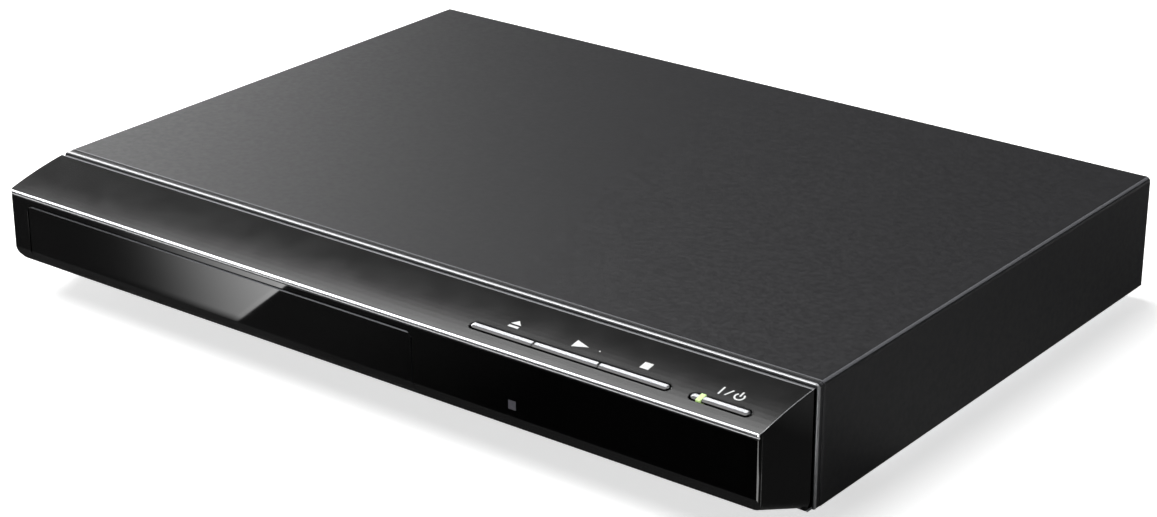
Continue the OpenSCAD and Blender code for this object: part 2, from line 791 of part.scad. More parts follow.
// Room in the power button for its light
module light_body(grow, low) {
    light = power_x + light_x;
    half = groove_w / 2 - light_gap;
    on_slope() {
        box([light - light_w / 2 - grow, light + light_w / 2 + grow],
            [groove_v - half - grow, groove_v + half + grow], [-0.3, key_proud + 0.1 + 2 * grow]);
        box([light - light_w / 2 - grow, light + light_w / 2 + grow],
            [groove_v - light_w / 2 - grow, groove_v + light_w / 2 + grow], [low, 0]);
    }
}

module power_button() color("#c9cacc") {
    difference() {
        key(power_span, [true, true]);
        light_body(0.02, -groove_deep - 1);
    }
}

module power_light() color("#8fe04a") light_body(0, stem_low);

// Front board with its switches, light and remote sensor
front_board_x = [keys_x + 0.5, power_x + power_len + 2];
switch_z = stem_low - key_travel - 0.2;

sensor_y = front_y + face_set + bezel_wall + 0.3;
sensor_mid = edge_z + sensor_z;
sensor_leg = [sensor_y + 3.2, slope_point(4, front_board_top)[1] + 0.5];

module sensor_legs(r) {
    for (s = [-1, 1]) disc(sensor_x + s * 1.3, sensor_leg[0], sensor_mid + 2, sensor_leg[1], r);
}

module front_board() color("#1f5a34") {
    difference() {
        on_slope() difference() {
            box(front_board_x, [3.2, 19], [front_board_top - front_board_t, front_board_top]);
            for (x = board_posts) disc(x, post_v, front_board_top - 3, front_board_top + 1, 1.1);
        }
        sensor_legs(0.5);
    }
}

module button_switches() color("#3a3a3c") {
    on_slope() for (s = spans) {
        box([mid(s) - 3, mid(s) + 3], [groove_v - 3, groove_v + 3],
            [front_board_top, front_board_top + 1.1]);
        disc(mid(s), groove_v, front_board_top + 1, switch_z, 1.7);
    }
}

module power_led() color("#d7e8c8") {
    on_slope() {
        light = power_x + light_x;
        disc(light, groove_v, front_board_top, switch_z - 0.2, 1.5);
        disc(light, groove_v, front_board_top, front_board_top + 0.6, 1.9);
    }
}

module remote_sensor() color("#1a1416") {
    box([sensor_x - 2.6, sensor_x + 2.6], [sensor_y + 0.9, sensor_y + 4],
        [sensor_mid - 3.2, sensor_mid + 3]);
    bar_y(sensor_x, sensor_y, sensor_y + 1.5, sensor_mid, 1.8);
    sensor_legs(0.3);
}

// Tray and its door
module tray_plan() {
    difference() {
        rect([-tray_half, tray_half], [door_back, tray_end]);
        for (s = [-1, 1]) translate([s * tray_half, tray_end])
            rotate(45) square(6, center = true);
    }
}

// The slot through which the turntable and the pickup reach the disc
slot_r = table_r + 4;
slot_w = 20;
slot_back = lens_y + sled_travel + 14;

module tray() color("#17171a") {
    translate([door_mid, 0, 0]) {
        difference() {
            union() {
                along_z(tray_z, tray_top) tray_plan();
                for (s = [-1, 1]) mirror([s > 0 ? 0 : 1, 0, 0]) {
                    box([tray_half - skirt_t, tray_half], [door_back, tray_end - 6],
                        [tray_z - skirt_h, tray_z + eps]);
                    box([tray_half - eps, tray_half + runner_w], [frame_y + 3, tray_end - 6],
                        [runner_top - runner_h, runner_top]);
                }
                // Stiffening edge under the front
                box([-tray_half, tray_half], [door_back, door_back + 2],
                    [tray_z - skirt_h, tray_z + eps]);
            }
            disc(0, disc_y, tray_top - pocket_deep, tray_top + 1, disc_d / 2);
            disc(0, disc_y, tray_z + web_t, tray_top + 1, small_disc_d / 2);
            disc(0, disc_y, tray_z - 1, tray_top + 1, slot_r);
            box([-slot_w, slot_w], [disc_y, slot_back], [tray_z - 1, tray_top + 1]);
            // Finger notches beside the pocket
            for (s = [-1, 1]) disc(s * (disc_d / 2 - 7), disc_y, tray_z + web_t, tray_top + 1, 7.5);
            // Lightened rear, with a rib left round it
            difference() {
                box([4 - tray_half, tray_half - 4], [disc_y + 40, tray_end - 3],
                    [tray_z + web_t, tray_top + 1]);
                disc(0, disc_y, tray_z, tray_top + 2, disc_d / 2 + 2);
                for (s = [-1, 1]) box([s * 40 - 1, s * 40 + 1], [disc_y, tray_end],
                    [tray_z, tray_top - 1]);
            }
        }
    }
    rack();
}

// Straight teeth that face the wheel, hanging under the tray
rack_pitch = rack_mod * PI;
rack_count = floor((tray_end - gear_y) / rack_pitch + 2.5);

module rack() {
    add = rack_mod;
    ded = rack_mod * 1.25;
    half = rack_pitch / 4 - tooth_play;
    lean = tan(20);
    along_z(tray_z - rack_h, tray_z + eps) {
        rect([rack_x + ded - eps, rack_x + ded + 2.4],
            [gear_y - rack_pitch * 2.5, gear_y + rack_pitch * (rack_count - 2.5)]);
        for (i = [0:rack_count - 1]) translate([rack_x, gear_y + (i - 2) * rack_pitch])
            polygon([[ded, -half - ded * lean], [-add, -half + add * lean],
                [-add, half - add * lean], [ded, half + ded * lean]]);
    }
}

module tray_door() color("#101013") {
    bevel = (chin_run - face_set) / (chin_top - chin_low);
    low_b = face_set + (edge_z + chin_top - door_bottom) * bevel;
    back_b = face_set + door_t;
    x0 = door_mid - door_w / 2;
    x1 = door_mid + door_w / 2;
    c = door_chamfer;
    intersection() {
        translate([0, front_y, 0]) along_x(x0, x1)
            polygon([[face_set + c, door_top], [back_b, door_top], [back_b, door_bottom],
                [low_b, door_bottom], [face_set, edge_z + chin_top],
                [face_set, door_top - c]]);
        translate([0, front_y, 0]) along_z(0, case_h)
            polygon([[x0 + c, face_set], [x1 - c, face_set], [x1, face_set + c], [x1, 5], [x0, 5],
                [x0, face_set + c]]);
        along_y(front_y, door_back) door_outline(0);
    }
}

// Toothed wheels
function involute(base, roll) = [base * (cos(roll) + roll * PI / 180 * sin(roll)),
    base * (sin(roll) - roll * PI / 180 * cos(roll))];
function turned(p, a) = [p[0] * cos(a) - p[1] * sin(a), p[0] * sin(a) + p[1] * cos(a)];
function roll_at(base, r) = sqrt(max(0, pow(r / base, 2) - 1)) * 180 / PI;

// One tooth's outline, from its root on one side over its tip to its root on the other
function tooth(mod, teeth) =
    let (pr = mod * teeth / 2, base = pr * cos(20), tip = pr + mod, root = pr - 1.25 * mod,
        start = max(base, root), a_pr = roll_at(base, pr),
        lean = a_pr - atan(a_pr * PI / 180), half = 90 / teeth - tooth_play / pr * 180 / PI,
        rolls = [for (k = [0:2]) roll_at(base, start + (tip - start) * k / 2)],
        flank = [for (a = rolls) turned(involute(base, a), -half - lean)],
        foot = turned([root, 0], -half - lean))
    concat([foot], flank, [for (k = [2:-1:0]) [flank[k][0], -flank[k][1]]], [[foot[0], -foot[1]]]);

module gear_outline(mod, teeth) {
    shape = tooth(mod, teeth);
    polygon([for (i = [0:teeth - 1], p = shape) turned(p, i * 360 / teeth)]);
}

module wheel_bore(z0, z1) {
    translate([0, 0, z0 - 1]) cylinder(h = z1 - z0 + 2, r = post_r + shaft_gap);
}

// A gap of the rack wheel faces the rack at rest, and the train is set to mesh
rack_wheel_turn = 180 / rack_teeth;
wheel_turn = 180 + train_a;
pinion_turn = train_a + 180 / pinion_teeth;

module drive_gear() color("#e6e2d6") {
    translate([gear_x, gear_y, 0]) difference() {
        union() {
            rotate(wheel_turn) along_z(wheel_z, wheel_top) gear_outline(train_mod, wheel_teeth);
            rotate(rack_wheel_turn) along_z(wheel_top - eps, tray_z - 1.9) gear_outline(rack_mod, rack_teeth);
        }
        wheel_bore(wheel_z, tray_z);
        for (a = [0:60:300]) rotate(a) disc(0, wheel_pr * 0.72, wheel_z - 1, wheel_top + 1,
            wheel_pr * 0.15);
    }
}

module belt_groove(r, z0, z1) {
    rotate_extrude() polygon([[0, z0], [r, z0], [r, (z0 + z1) / 2 - belt_t * 0.5 - 0.3],
        [r - belt_t * 0.5, (z0 + z1) / 2 - belt_t * 0.5 - 0.1],
        [r - belt_t * 0.5, (z0 + z1) / 2 + belt_t * 0.5 + 0.1],
        [r, (z0 + z1) / 2 + belt_t * 0.5 + 0.3], [r, z1], [0, z1]]);
}

module pulley_gear() color("#e6e2d6") {
    translate([pulley_x, pulley_y, 0]) difference() {
        union() {
            belt_groove(pulley_r, pulley_z, pulley_top);
            rotate(pinion_turn) along_z(pinion_z, wheel_top + 0.4)
                gear_outline(train_mod, pinion_teeth);
            cylinder_at(wheel_top, pulley_z, pinion_pr - train_mod * 1.25);
        }
        wheel_bore(wheel_z, tray_z);
    }
}

module cylinder_at(z0, z1, r) {
    translate([0, 0, z0 - eps]) cylinder(h = z1 - z0 + 2 * eps, r = r);
}

module motor_pulley() color("#d8d4c8") {
    translate([motor_x, motor_y, 0]) difference() {
        belt_groove(motor_pulley_r, pulley_z, pulley_top);
        translate([0, 0, pulley_z - 1]) cylinder(h = 5, r = 1 + 0.02);
    }
}

// The belt runs in both grooves: two arcs and the two straight runs between them
module belt_arc(r, from, to) {
    rotate(from) rotate_extrude(angle = to - from)
        translate([r, -belt_t / 2]) square(belt_t);
}

module drive_belt() color("#121212") {
    gap = 0.1;
    dist = norm([pulley_x - motor_x, pulley_y - motor_y]);
    small = motor_pulley_r - belt_t / 2 + gap;
    large = pulley_r - belt_t / 2 + gap;
    a = acos((small - large) / dist);
    run = dist * sin(a);
    translate([motor_x, motor_y, (pulley_z + pulley_top) / 2])
        rotate(atan2(pulley_y - motor_y, pulley_x - motor_x)) {
            belt_arc(small, a, 360 - a);
            translate([dist, 0, 0]) belt_arc(large, -a, a);
            for (s = [-1, 1]) mirror([0, s > 0 ? 0 : 1, 0]) rotate(a - 90)
                translate([-eps, small, -belt_t / 2]) cube([run + 2 * eps, belt_t, belt_t]);
        }
}

module loading_motor() color("#b4b6ba") {
    motor_z = floor_z + 0.5;
    translate([motor_x, motor_y, 0]) {
        difference() {
            disc(0, 0, motor_z, motor_z + motor_h, motor_r);
            for (s = [-1, 1]) translate([s * (motor_r + 8), 0, motor_z])
                cube([20, 30, 30], center = true);
        }
        disc(0, 0, motor_z + motor_h - eps, motor_z + motor_h + 0.5, 3);
        disc(0, 0, motor_z + motor_h, pulley_top - 0.3, 1);
    }
}

// Loader frame
module at_gear_posts() {
    translate([gear_x, gear_y, 0]) children();
    translate([pulley_x, pulley_y, 0]) children();
}

opening_half = holder_half + 1;
opening_y = [holder_front - 2, holder_end + 2];

module loader_frame() color("#2b2b2e") {
    difference() {
        union() {
            translate([door_mid, 0, 0]) {
                difference() {
                    box([-frame_half, frame_half], [frame_y, frame_end], [frame_base, frame_top]);
                    box([-tray_half - 0.5, tray_half + 0.5], [frame_y + frame_wall, frame_end - 2],
                        [frame_floor, frame_top + 1]);
                    box([-frame_half - 1, frame_half + 1], [frame_y - 1, frame_y + frame_wall + 1],
                        [tray_z - rack_h - 0.5, frame_top + 1]);
                    box([-tray_half - 0.5, tray_half + 0.5], [frame_end - 3, frame_end + 1],
                        [tray_z - rack_h, frame_top + 1]);
                    // Grooves for the runners
                    box([-tray_half - runner_w - 0.4, tray_half + runner_w + 0.4],
                        [frame_y - 1, tray_end],
                        [runner_top - runner_h - slide_gap, runner_top + slide_gap]);
                    // Opening for the disc drive
                    box([-opening_half, opening_half], opening_y, [frame_base - 1, frame_floor + 1]);
                }
                // Ears for the hinge of the disc drive
                for (s = [-1, 1]) mirror([s > 0 ? 0 : 1, 0, 0]) difference() {
                    box([holder_half + 0.5, holder_half + 4], [hinge_y - 4, hinge_y + 4],
                        [frame_base, hinge_z + 4]);
                    bar_x(holder_half, holder_half + 5, hinge_y, hinge_z, 2 + shaft_gap);
                }
                // Fence in front of the cam slider and its stop
                box([-56, -14], [slider_mid - slider_t / 2 - 1.5, slider_mid - slider_t / 2 - 0.3],
                    [frame_floor - eps, frame_floor + 1.1]);
                for (s = [-1, 1], y = frame_tabs_y)
                    box([s > 0 ? frame_half - 1 : -frame_tab_x - 4, s > 0 ? frame_tab_x + 4 : 1 - frame_half],
                        [y - 5, y + 5], [frame_base, frame_floor]);
            }
            at_gear_posts() {
                disc(0, 0, frame_base, pinion_z - 0.3, 3);
                disc(0, 0, frame_base, tray_z - 1.1, post_r);
            }
            disc(gear_x, gear_y, frame_base, wheel_z - 0.3, 3);
            // Collar of the loading motor, open towards the cam slider
            translate([motor_x, motor_y, 0]) difference() {
                disc(0, 0, frame_base, frame_floor + 3, motor_r + 1.6);
                box([-motor_r, motor_r], [motor_r * 0.75, motor_r + 2],
                    [frame_floor, frame_floor + 4]);
            }
        }
        translate([motor_x, motor_y, 0]) disc(0, 0, frame_base - 1, frame_floor + 4, motor_r + 0.15);
        at_frame_tabs() disc(0, 0, frame_base - 1, frame_floor + 1, 1.7);
        at_bridge_screws() disc(0, 0, frame_top - 6, frame_top + 1, 0.9);
    }
}

module at_bridge_screws() {
    for (s = [-1, 1], t = [-1, 1])
        translate([door_mid + s * (frame_half - frame_wall / 2 - 0.9), disc_y + t * 11, 0]) children();
}

module loader_screws() color("#9fa2a6") {
    at_frame_tabs() translate([0, 0, frame_floor]) pan_screw(3, 1.6, 1.15, 4.5);
    at_bridge_screws() translate([0, 0, frame_top + bridge_t]) pan_screw(1.7, 1.1, 0.8, 5);
}

// Cam slider: sloping slots lift the pins of the disc drive
module cam_slot(x) {
    low = cam_pin_low;
    high = cam_pin_z;
    a = atan((high - low) / cam_travel);
    w = slot_half / cos(a);
    rect([x - 3, x + 0.2], [low - slot_half, low + slot_half]);
    polygon([[x - 0.6, low - w - 0.3], [x + cam_travel + 0.4, high - w - 0.15],
        [x + cam_travel + 0.4, high + w - 0.15], [x - 0.6, low + w - 0.15]]);
    rect([x + cam_travel - 0.2, x + cam_travel + 1.8], [high - slot_half, high + slot_half]);
}

module cam_slider() color("#d9d5c9") {
    slider_x = [cam_pins[0] - 4.6, cam_pins[1] + cam_travel + 3];
    translate([door_mid, 0, 0]) difference() {
        union() {
            box(slider_x, [slider_mid - slider_t / 2, slider_mid + slider_t / 2],
                [frame_floor + 0.2, cam_pin_z + slot_half + 0.7]);
        }
        along_y(slider_mid - slider_t, slider_mid + slider_t)
            for (x = cam_pins) cam_slot(x);
    }
}

// Clamper over the disc
module clamper_bridge() color("#a9acb0") {
    translate([door_mid, disc_y, 0]) difference() {
        union() {
            box([-frame_half, frame_half], [-bridge_half, bridge_half],
                [frame_top, frame_top + bridge_t]);
            for (s = [-1, 1]) box([-frame_half + 8, frame_half - 8],
                [s * bridge_half - (s > 0 ? bridge_t : 0), s * bridge_half + (s > 0 ? 0 : bridge_t)],
                [frame_top, frame_top + 3.6]);
        }
        disc(0, 0, frame_top - 1, frame_top + 3, clamp_neck + 1);
        for (s = [-1, 1]) translate([s * 38, 0, frame_top - 1])
            cylinder(h = 3, r = 8);
        translate([-door_mid, -disc_y, 0])
            at_bridge_screws() disc(0, 0, frame_top - 1, frame_top + 3, 1);
    }
}

clamp_neck = cone_r + 2.6;

module clamper() color("#f0eee8") {
    top = frame_top + bridge_t;
    translate([door_mid, disc_y, 0]) difference() {
        union() {
            disc(0, 0, clamp_z, clamp_z + 1.3, table_r + 2);
            disc(0, 0, clamp_z, top + 0.5, clamp_neck);
            disc(0, 0, top + 0.25, top + 1.6, clamp_neck + 3);
        }
        disc(0, 0, clamp_z - 1, clamp_z + 1.9, cone_r + 0.6);
        disc(0, 0, top - 0.4, top + 2, cone_r + 0.1);
    }
}

module clamper_magnet() color("#6f7175") {
    top = frame_top + bridge_t;
    translate([door_mid, disc_y, 0]) difference() {
        disc(0, 0, top - 0.4, top + 1.2, cone_r);
        disc(0, 0, top - 1, top + 2, 3);
    }
}

// Disc drive
module at_bushes() {
    for (s = [-1, 1], y = [bush_front, bush_back]) translate([s * bush_x, y, 0]) children();
}

module traverse_holder() color("#26262a") {
    lowered() difference() {
        union() {
            difference() {
                box([-holder_half, holder_half], [holder_front, holder_end], [holder_z, holder_top]);
                box([4 - holder_half, holder_half - 4], [holder_front + 4, holder_end - 5],
                    [holder_z - 1, holder_top + 1]);
            }
            box([-holder_half, holder_half], [holder_front, holder_front + 2],
                [holder_z, cam_pin_z + cam_pin_r + 0.2]);
            for (x = cam_pins) bar_y(x, slider_mid - slider_t / 2 - 1, holder_front + eps,
                cam_pin_z, cam_pin_r);
            for (s = [-1, 1]) mirror([s > 0 ? 0 : 1, 0, 0]) {
                box([holder_half - 3, holder_half], [hinge_y - 4, hinge_y + 4],
                    [holder_z, hinge_z + 2.6]);
                bar_x(holder_half - eps, holder_half + 3.8, hinge_y, hinge_z, 2);
            }
            at_bushes() disc(0, 0, holder_z, holder_top, 4.3);
        }
        at_bushes() disc(0, 0, holder_z - 1, holder_top + 1, 0.9);
    }
}

module traverse_bushes() color("#101010") {
    lowered() at_bushes() difference() {
        disc(0, 0, holder_top, plate_z, bush_r);
        disc(0, 0, holder_top - 1, plate_z + 1, 1.3);
    }
}

module traverse_screws() color("#c2c4c7") {
    lowered() at_bushes() translate([0, 0, plate_top]) pan_screw(2.3, 0.8, 0.8, 5.5);
}

module traverse_plate() color("#a7aaae") {
    front = holder_front + 2.6;
    lowered() difference() {
        union() {
            box([-holder_half + 0.6, holder_half - 0.6], [front, hinge_y - 4.5],
                [plate_z, plate_top]);
            // Seats of the rods and of the lead screw
            for (s = [-1, 1], y = [rod_front, rod_back - 2.5])
                box([s * rod_x - rod_r - 1, s * rod_x + rod_r + 1], [y - 1, y + 2.5],
                    [rod_z - rod_r - 0.8, plate_z + eps]);
            box([lead_x - 2.4, lead_x + 2.4], [rod_front - 1, rod_front + 1.2],
                [lead_z - 2.2, plate_z + eps]);
            box([lead_x - 4, lead_x + 4], [rod_back, rod_back + 1.2],
                [lead_z - 3.4, plate_z + eps]);
        }
        box([-window_half, window_half], [rod_front + 1.2, rod_back - 2.5 - 1],
            [plate_z - 6, plate_top + 1]);
        disc(0, disc_y, plate_z - 1, plate_top + 1, 4.3);
        for (s = [-1, 1]) bar_y(s * rod_x, rod_front - eps, rod_back + 2, rod_z, rod_r + 0.02);
        bar_y(lead_x, rod_front - 2, rod_front + 2, lead_z, 0.8 + shaft_gap);
        bar_y(lead_x, rod_back - 1, rod_back + 2, lead_z, screw_r + 0.3);
        at_bushes() disc(0, 0, plate_z - 1, plate_top + 1, 1.1);
        disc(-9, disc_y - 12, plate_z - 1, plate_top + 1, 2);
        disc(9, disc_y - 12, plate_z - 1, plate_top + 1, 2);
    }
}

base_top = plate_top + 1;

module spindle_motor() color("#c7c9cc") {
    lowered() difference() {
        union() {
            disc(0, disc_y, plate_top, base_top, table_r - 1.5);
            disc(0, disc_y, plate_z - 3.2, plate_top + eps, 4);
        }
        disc(0, disc_y, plate_z - 2.4, base_top + 1, 1 + shaft_gap);
    }
}

module turntable() color("#1c1c1f") {
    lowered() translate([0, disc_y, 0]) {
        difference() {
            disc(0, 0, base_top + 0.3, seat_z, table_r);
            translate([0, 0, base_top]) difference() {
                cylinder(h = seat_z - 1.2 - base_top, r = table_r + 1);
                translate([0, 0, -1]) cylinder(h = 10, r = table_r - 1);
            }
        }
        rotate_extrude() polygon([[0, seat_z - eps], [cone_r, seat_z - eps], [cone_r, seat_z + 0.5],
            [cone_r - 1.3, seat_z + cone_h], [0, seat_z + cone_h]]);
        disc(0, 0, plate_z - 2.3, base_top + 0.4, 1);
    }
}

module guide_rods() color("#d4d6d9") {
    lowered() for (s = [-1, 1]) bar_y(s * rod_x, rod_front, rod_back, rod_z, rod_r);
}

module pickup_sled() color("#3a3d42") {
    lowered() difference() {
        union() {
            box([-sled_half, sled_half], [sled_front, sled_back], [sled_z, sled_top]);
            box([-9.5, 9.5], [lens_y - 6.5, lens_y + 7], [sled_top - eps, sled_top + 2.4]);
            box([lead_x - 3, lead_x + 3], [lens_y + 2, lens_y + 10],
                [lead_z - screw_r - 1, sled_z + eps]);
        }
        disc(0, disc_y, sled_z - 1, sled_top + 1, table_r + 2.4);
        for (s = [-1, 1])
            bar_y(s * rod_x, sled_front - 1, sled_back + 1, rod_z, rod_r + shaft_gap);
        bar_y(lead_x, lens_y, lens_y + 12, lead_z, screw_r + 0.1);
        box([-6, 6], [lens_y - 4.5, lens_y + 4.5], [sled_top + 0.6, sled_top + 3]);
        box([-sled_half - 1, 3 - sled_half], [sled_front + 6, sled_back - 6],
            [sled_z - 1, sled_top + 1]);
    }
}

module pickup_lens() color("#7c88b8") {
    lowered() {
        box([-5.6, 5.6], [lens_y - 4.2, lens_y + 4.2], [sled_top + 0.6, sled_top + 2.2]);
        disc(0, lens_y, sled_top + 2.2 - eps, sled_top + 3.1, 2.3);
    }
}

module sled_motor() color("#bfc1c4") {
    lowered() {
        bar_y(lead_x, rod_back + 1.2, hinge_y - 2.2, lead_z, plate_z - lead_z - 0.4);
    }
}

module lead_screw() color("#dcdddf") {
    lowered() {
        bar_y(lead_x, rod_front + 1.4, rod_back + 1.1, lead_z, screw_r);
        bar_y(lead_x, rod_front - 0.8, rod_front + 1.5, lead_z, 0.8);
    }
}

// Boards
module main_board() color("#1d6a3a") {
    difference() {
        union() {
            box(main_x, main_y, [board_z, board_top]);
            box([digital_x - 9, main_x[1]], [strip_y, main_y[1]], [board_z, board_top]);
        }
        for (p = main_posts) disc(p[0], p[1], board_z - 1, board_top + 1, 1.6);
    }
}

module main_chips() color("#151517") {
    x = main_x[0];
    y = main_y[0];
    box([x + 16, x + 38], [y + 34, y + 56], [board_top, board_top + 1.6]);
    box([x + 4, x + 12], [y + 30, y + 48], [board_top, board_top + 1.2]);
    box([x + 20, x + 34], [y + 64, y + 72], [board_top, board_top + 1.4]);
    box([x + 12, x + 30], [y + 10, y + 22], [board_top, board_top + 1.6]);
    box([x + 40, x + 48], [y + 16, y + 22], [board_top, board_top + 1.2]);
}

module main_capacitors() color("#2c3550") {
    for (p = [[8, 60], [44, 62], [44, 74], [10, 78], [22, 84], [34, 84]])
        disc(main_x[0] + p[0], main_y[0] + p[1], board_top, board_top + 9, 3.2);
}

module power_board() color("#b98a4a") {
    difference() {
        box(power_xr, power_yr, [board_z, board_top]);
        for (p = power_posts) disc(p[0], p[1], board_z - 1, board_top + 1, 1.6);
    }
}

module transformer() color("#c8a63c") {
    x = power_xr[0] + 9;
    y = power_yr[0] + 46;
    box([x, x + 24], [y, y + 5], [board_top + 3, board_top + 19]);
    box([x, x + 24], [y + 17, y + 22], [board_top + 3, board_top + 19]);
    box([x + 2, x + 22], [y + 5, y + 17], [board_top + 1, board_top + 20]);
    box([x - 1, x + 25], [y + 1, y + 21], [board_top, board_top + 3 + eps]);
}

module mains_capacitor() color("#24242a") {
    disc(power_xr[1] - 12, power_yr[1] - 62, board_top, board_top + 21, 8);
    for (p = [[8, 22], [8, 34], [20, 16], [32, 20]])
        disc(power_xr[0] + p[0], power_yr[0] + p[1], board_top, board_top + 12, 4);
}

module heat_sink() color("#9ea1a5") {
    x = power_xr[0] + 4;
    y = power_yr[0] + 74;
    box([x, x + 2], [y, y + 22], [board_top, board_top + 20]);
    for (i = [0:5]) box([x - eps, x + 8], [y + i * 4.1, y + i * 4.1 + 1.4],
        [board_top + 4, board_top + 20]);
}

module mains_filter() color("#7b4a25") {
    x = power_xr[0] + 16;
    y = power_yr[1] - 44;
    box([x, x + 17], [y, y + 15], [board_top, board_top + 16]);
    box([x + 20, x + 26], [y - 2, y + 12], [board_top, board_top + 13]);
}

module board_screws() color("#c2c4c7") {
    at_posts() translate([0, 0, board_top]) pan_screw(2.6, 1.4, 1.15, 4);
    on_slope() for (x = board_posts) translate([x, post_v, front_board_top - front_board_t])
        rotate([180, 0, 0]) pan_screw(2, 1.2, 0.8, 4);
}

// Rear connections
module jack_housings() color("#1d1d20") {
    depth = 12;
    difference() {
        union() {
            box([jack_xs[0] - jack_pitch / 2, jack_xs[2] + jack_pitch / 2],
                [panel_y - depth, panel_y], [board_top, jack_high + ring_r + 0.6]);
            box([digital_x - 6, digital_x + 6], [panel_y - depth, panel_y],
                [board_top, jack_low + ring_r + 0.6]);
        }
        at_jacks() bar_y(0, panel_y - 9, panel_y + 1, 0, neck_r + 0.02);
    }
    at_jacks() difference() {
        bar_y(0, panel_y - 9 - eps, panel_y + 1, 0, core_r - 0.03);
        bar_y(0, panel_y - 8, panel_y + 2, 0, 1.6);
    }
}

module jack_rings() color("#d8d8d4") {
    at_jacks() difference() {
        bar_y(0, panel_y, rear_y + ring_t, 0, ring_r);
        bar_y(0, panel_y - 1, rear_y + ring_t + 1, 0, neck_r + 0.02);
    }
}

module jack_sleeves() color("#d6d7da") {
    at_jacks() difference() {
        union() {
            bar_y(0, panel_y - 9, rear_y + ring_t + eps, 0, neck_r);
            bar_y(0, rear_y + ring_t, rear_y + jack_reach, 0, jack_r);
        }
        bar_y(0, panel_y - 10, rear_y + jack_reach + 1, 0, core_r);
    }
}

module mains_inlet() color("#161618") {
    difference() {
        union() {
            box([inlet_x - inlet_half[0], inlet_x + inlet_half[0]],
                [rear_y - inlet_deep - 2.5, rear_y + 0.8],
                [inlet_z - inlet_half[1], inlet_z + inlet_half[1]]);
            box([inlet_x - inlet_half[0] - 1.5, inlet_x + inlet_half[0] + 1.5],
                [panel_y - 2.5, panel_y],
                [inlet_z - inlet_half[1] - 1.2, inlet_z + inlet_half[1] + 1.2]);
        }
        along_y(rear_y - inlet_deep + 0.8, rear_y + 2) inlet_outline(0);
        for (s = [-1, 1]) bar_y(inlet_x + s * inlet_pitch / 2, rear_y - inlet_deep - 5,
            rear_y, inlet_z, 1.18);
    }
    // Foot that stands on the power board
    box([inlet_x - 8, inlet_x + 8], [panel_y - 11, panel_y - 4.2],
        [board_top, inlet_z - inlet_half[1] + eps]);
}

module inlet_pins() color("#cfd0d2") {
    for (s = [-1, 1])
        bar_y(inlet_x + s * inlet_pitch / 2, rear_y - inlet_deep - 4, rear_y - 1.5, inlet_z, 1.18);
}

// Flat cables and wires inside the case
function strip(points, t) = concat(points, [for (i = [len(points) - 1:-1:0]) points[i] + [0, t]]);

module flat_cables() color("#e2e4e6") {
    y = main_y[0] + 12;
    // From the main board to the loader, under its side
    along_y(y, y + 14) polygon(strip([[main_x[0] + 2, board_top + 0.1],
        [main_x[0] - 1, board_top + 1.5], [main_x[0] - 3, floor_z + 1.2],
        [main_x[0] - 6, floor_z + 0.1], [door_mid + frame_half - 14, floor_z + 0.1]], 0.3));
    // From the main board to the front board
    front_end = slope_point(16.5, front_board_top - front_board_t - 0.36);
    along_x(board_posts[1] + 2.6, main_posts[1][0] - 3.2) polygon(strip([[main_y[0] + 3, board_top + 0.1],
        [main_y[0] - 4, board_top + 3], [frame_y + 24, floor_z + 14],
        [bezel_y + 4, floor_z + 18], front_end], 0.3));
}

module wire_harness() color("#b03030") {
    x0 = main_x[1] - 5;
    x1 = power_xr[0] + 5;
    for (i = [0:4]) along_y(main_y[0] + 26 + i * 2.5, main_y[0] + 27.2 + i * 2.5)
        polygon(strip([[x0, board_top], [x0 + 1.5, board_top + 5], [(x0 + x1) / 2, board_top + 7],
            [x1 - 1.5, board_top + 5], [x1, board_top]], 1.2));
}

top_cover();
bottom_chassis();
rear_panel();
feet();
cover_screws();
front_bezel();
sensor_window();
eject_button();
play_button();
stop_button();
power_button();
power_light();
front_board();
button_switches();
power_led();
remote_sensor();
tray();
tray_door();
loader_frame();
loader_screws();
loading_motor();
motor_pulley();
drive_belt();
pulley_gear();
drive_gear();
cam_slider();
clamper_bridge();
clamper();
clamper_magnet();
traverse_holder();
traverse_bushes();
traverse_plate();
traverse_screws();
spindle_motor();
turntable();
guide_rods();
pickup_sled();
pickup_lens();
sled_motor();
lead_screw();
main_board();
main_chips();
main_capacitors();
power_board();
transformer();
mains_capacitor();
heat_sink();
mains_filter();
board_screws();
jack_housings();
jack_rings();
jack_sleeves();
mains_inlet();
inlet_pins();
flat_cables();
wire_harness();
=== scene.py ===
import math

import bmesh
import bpy
from mathutils import Matrix, Vector


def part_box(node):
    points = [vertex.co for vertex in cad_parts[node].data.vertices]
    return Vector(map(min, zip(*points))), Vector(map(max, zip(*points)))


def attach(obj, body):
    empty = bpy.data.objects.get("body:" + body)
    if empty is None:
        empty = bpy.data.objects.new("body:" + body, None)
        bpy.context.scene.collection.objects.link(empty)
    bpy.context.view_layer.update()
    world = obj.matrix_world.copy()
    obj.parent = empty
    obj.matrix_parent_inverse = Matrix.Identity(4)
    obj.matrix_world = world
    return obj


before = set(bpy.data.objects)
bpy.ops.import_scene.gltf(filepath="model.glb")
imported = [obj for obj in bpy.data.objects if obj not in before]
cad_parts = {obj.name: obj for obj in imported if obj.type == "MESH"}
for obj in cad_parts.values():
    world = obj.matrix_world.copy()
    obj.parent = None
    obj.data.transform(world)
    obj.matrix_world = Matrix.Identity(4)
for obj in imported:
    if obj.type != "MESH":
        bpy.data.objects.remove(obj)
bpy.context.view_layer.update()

bl_info = {
    "name": "Disc Player with Tray",
    "version": (1, 0, 0),
    "blender": (4, 5, 0),
    "location": "View3D > Sidebar > Disc Player",
    "description": "Finishes, printed symbols and studio of a slim disc player with a tray",
    "category": "Object",
}

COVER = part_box("top_cover")
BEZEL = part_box("front_bezel")

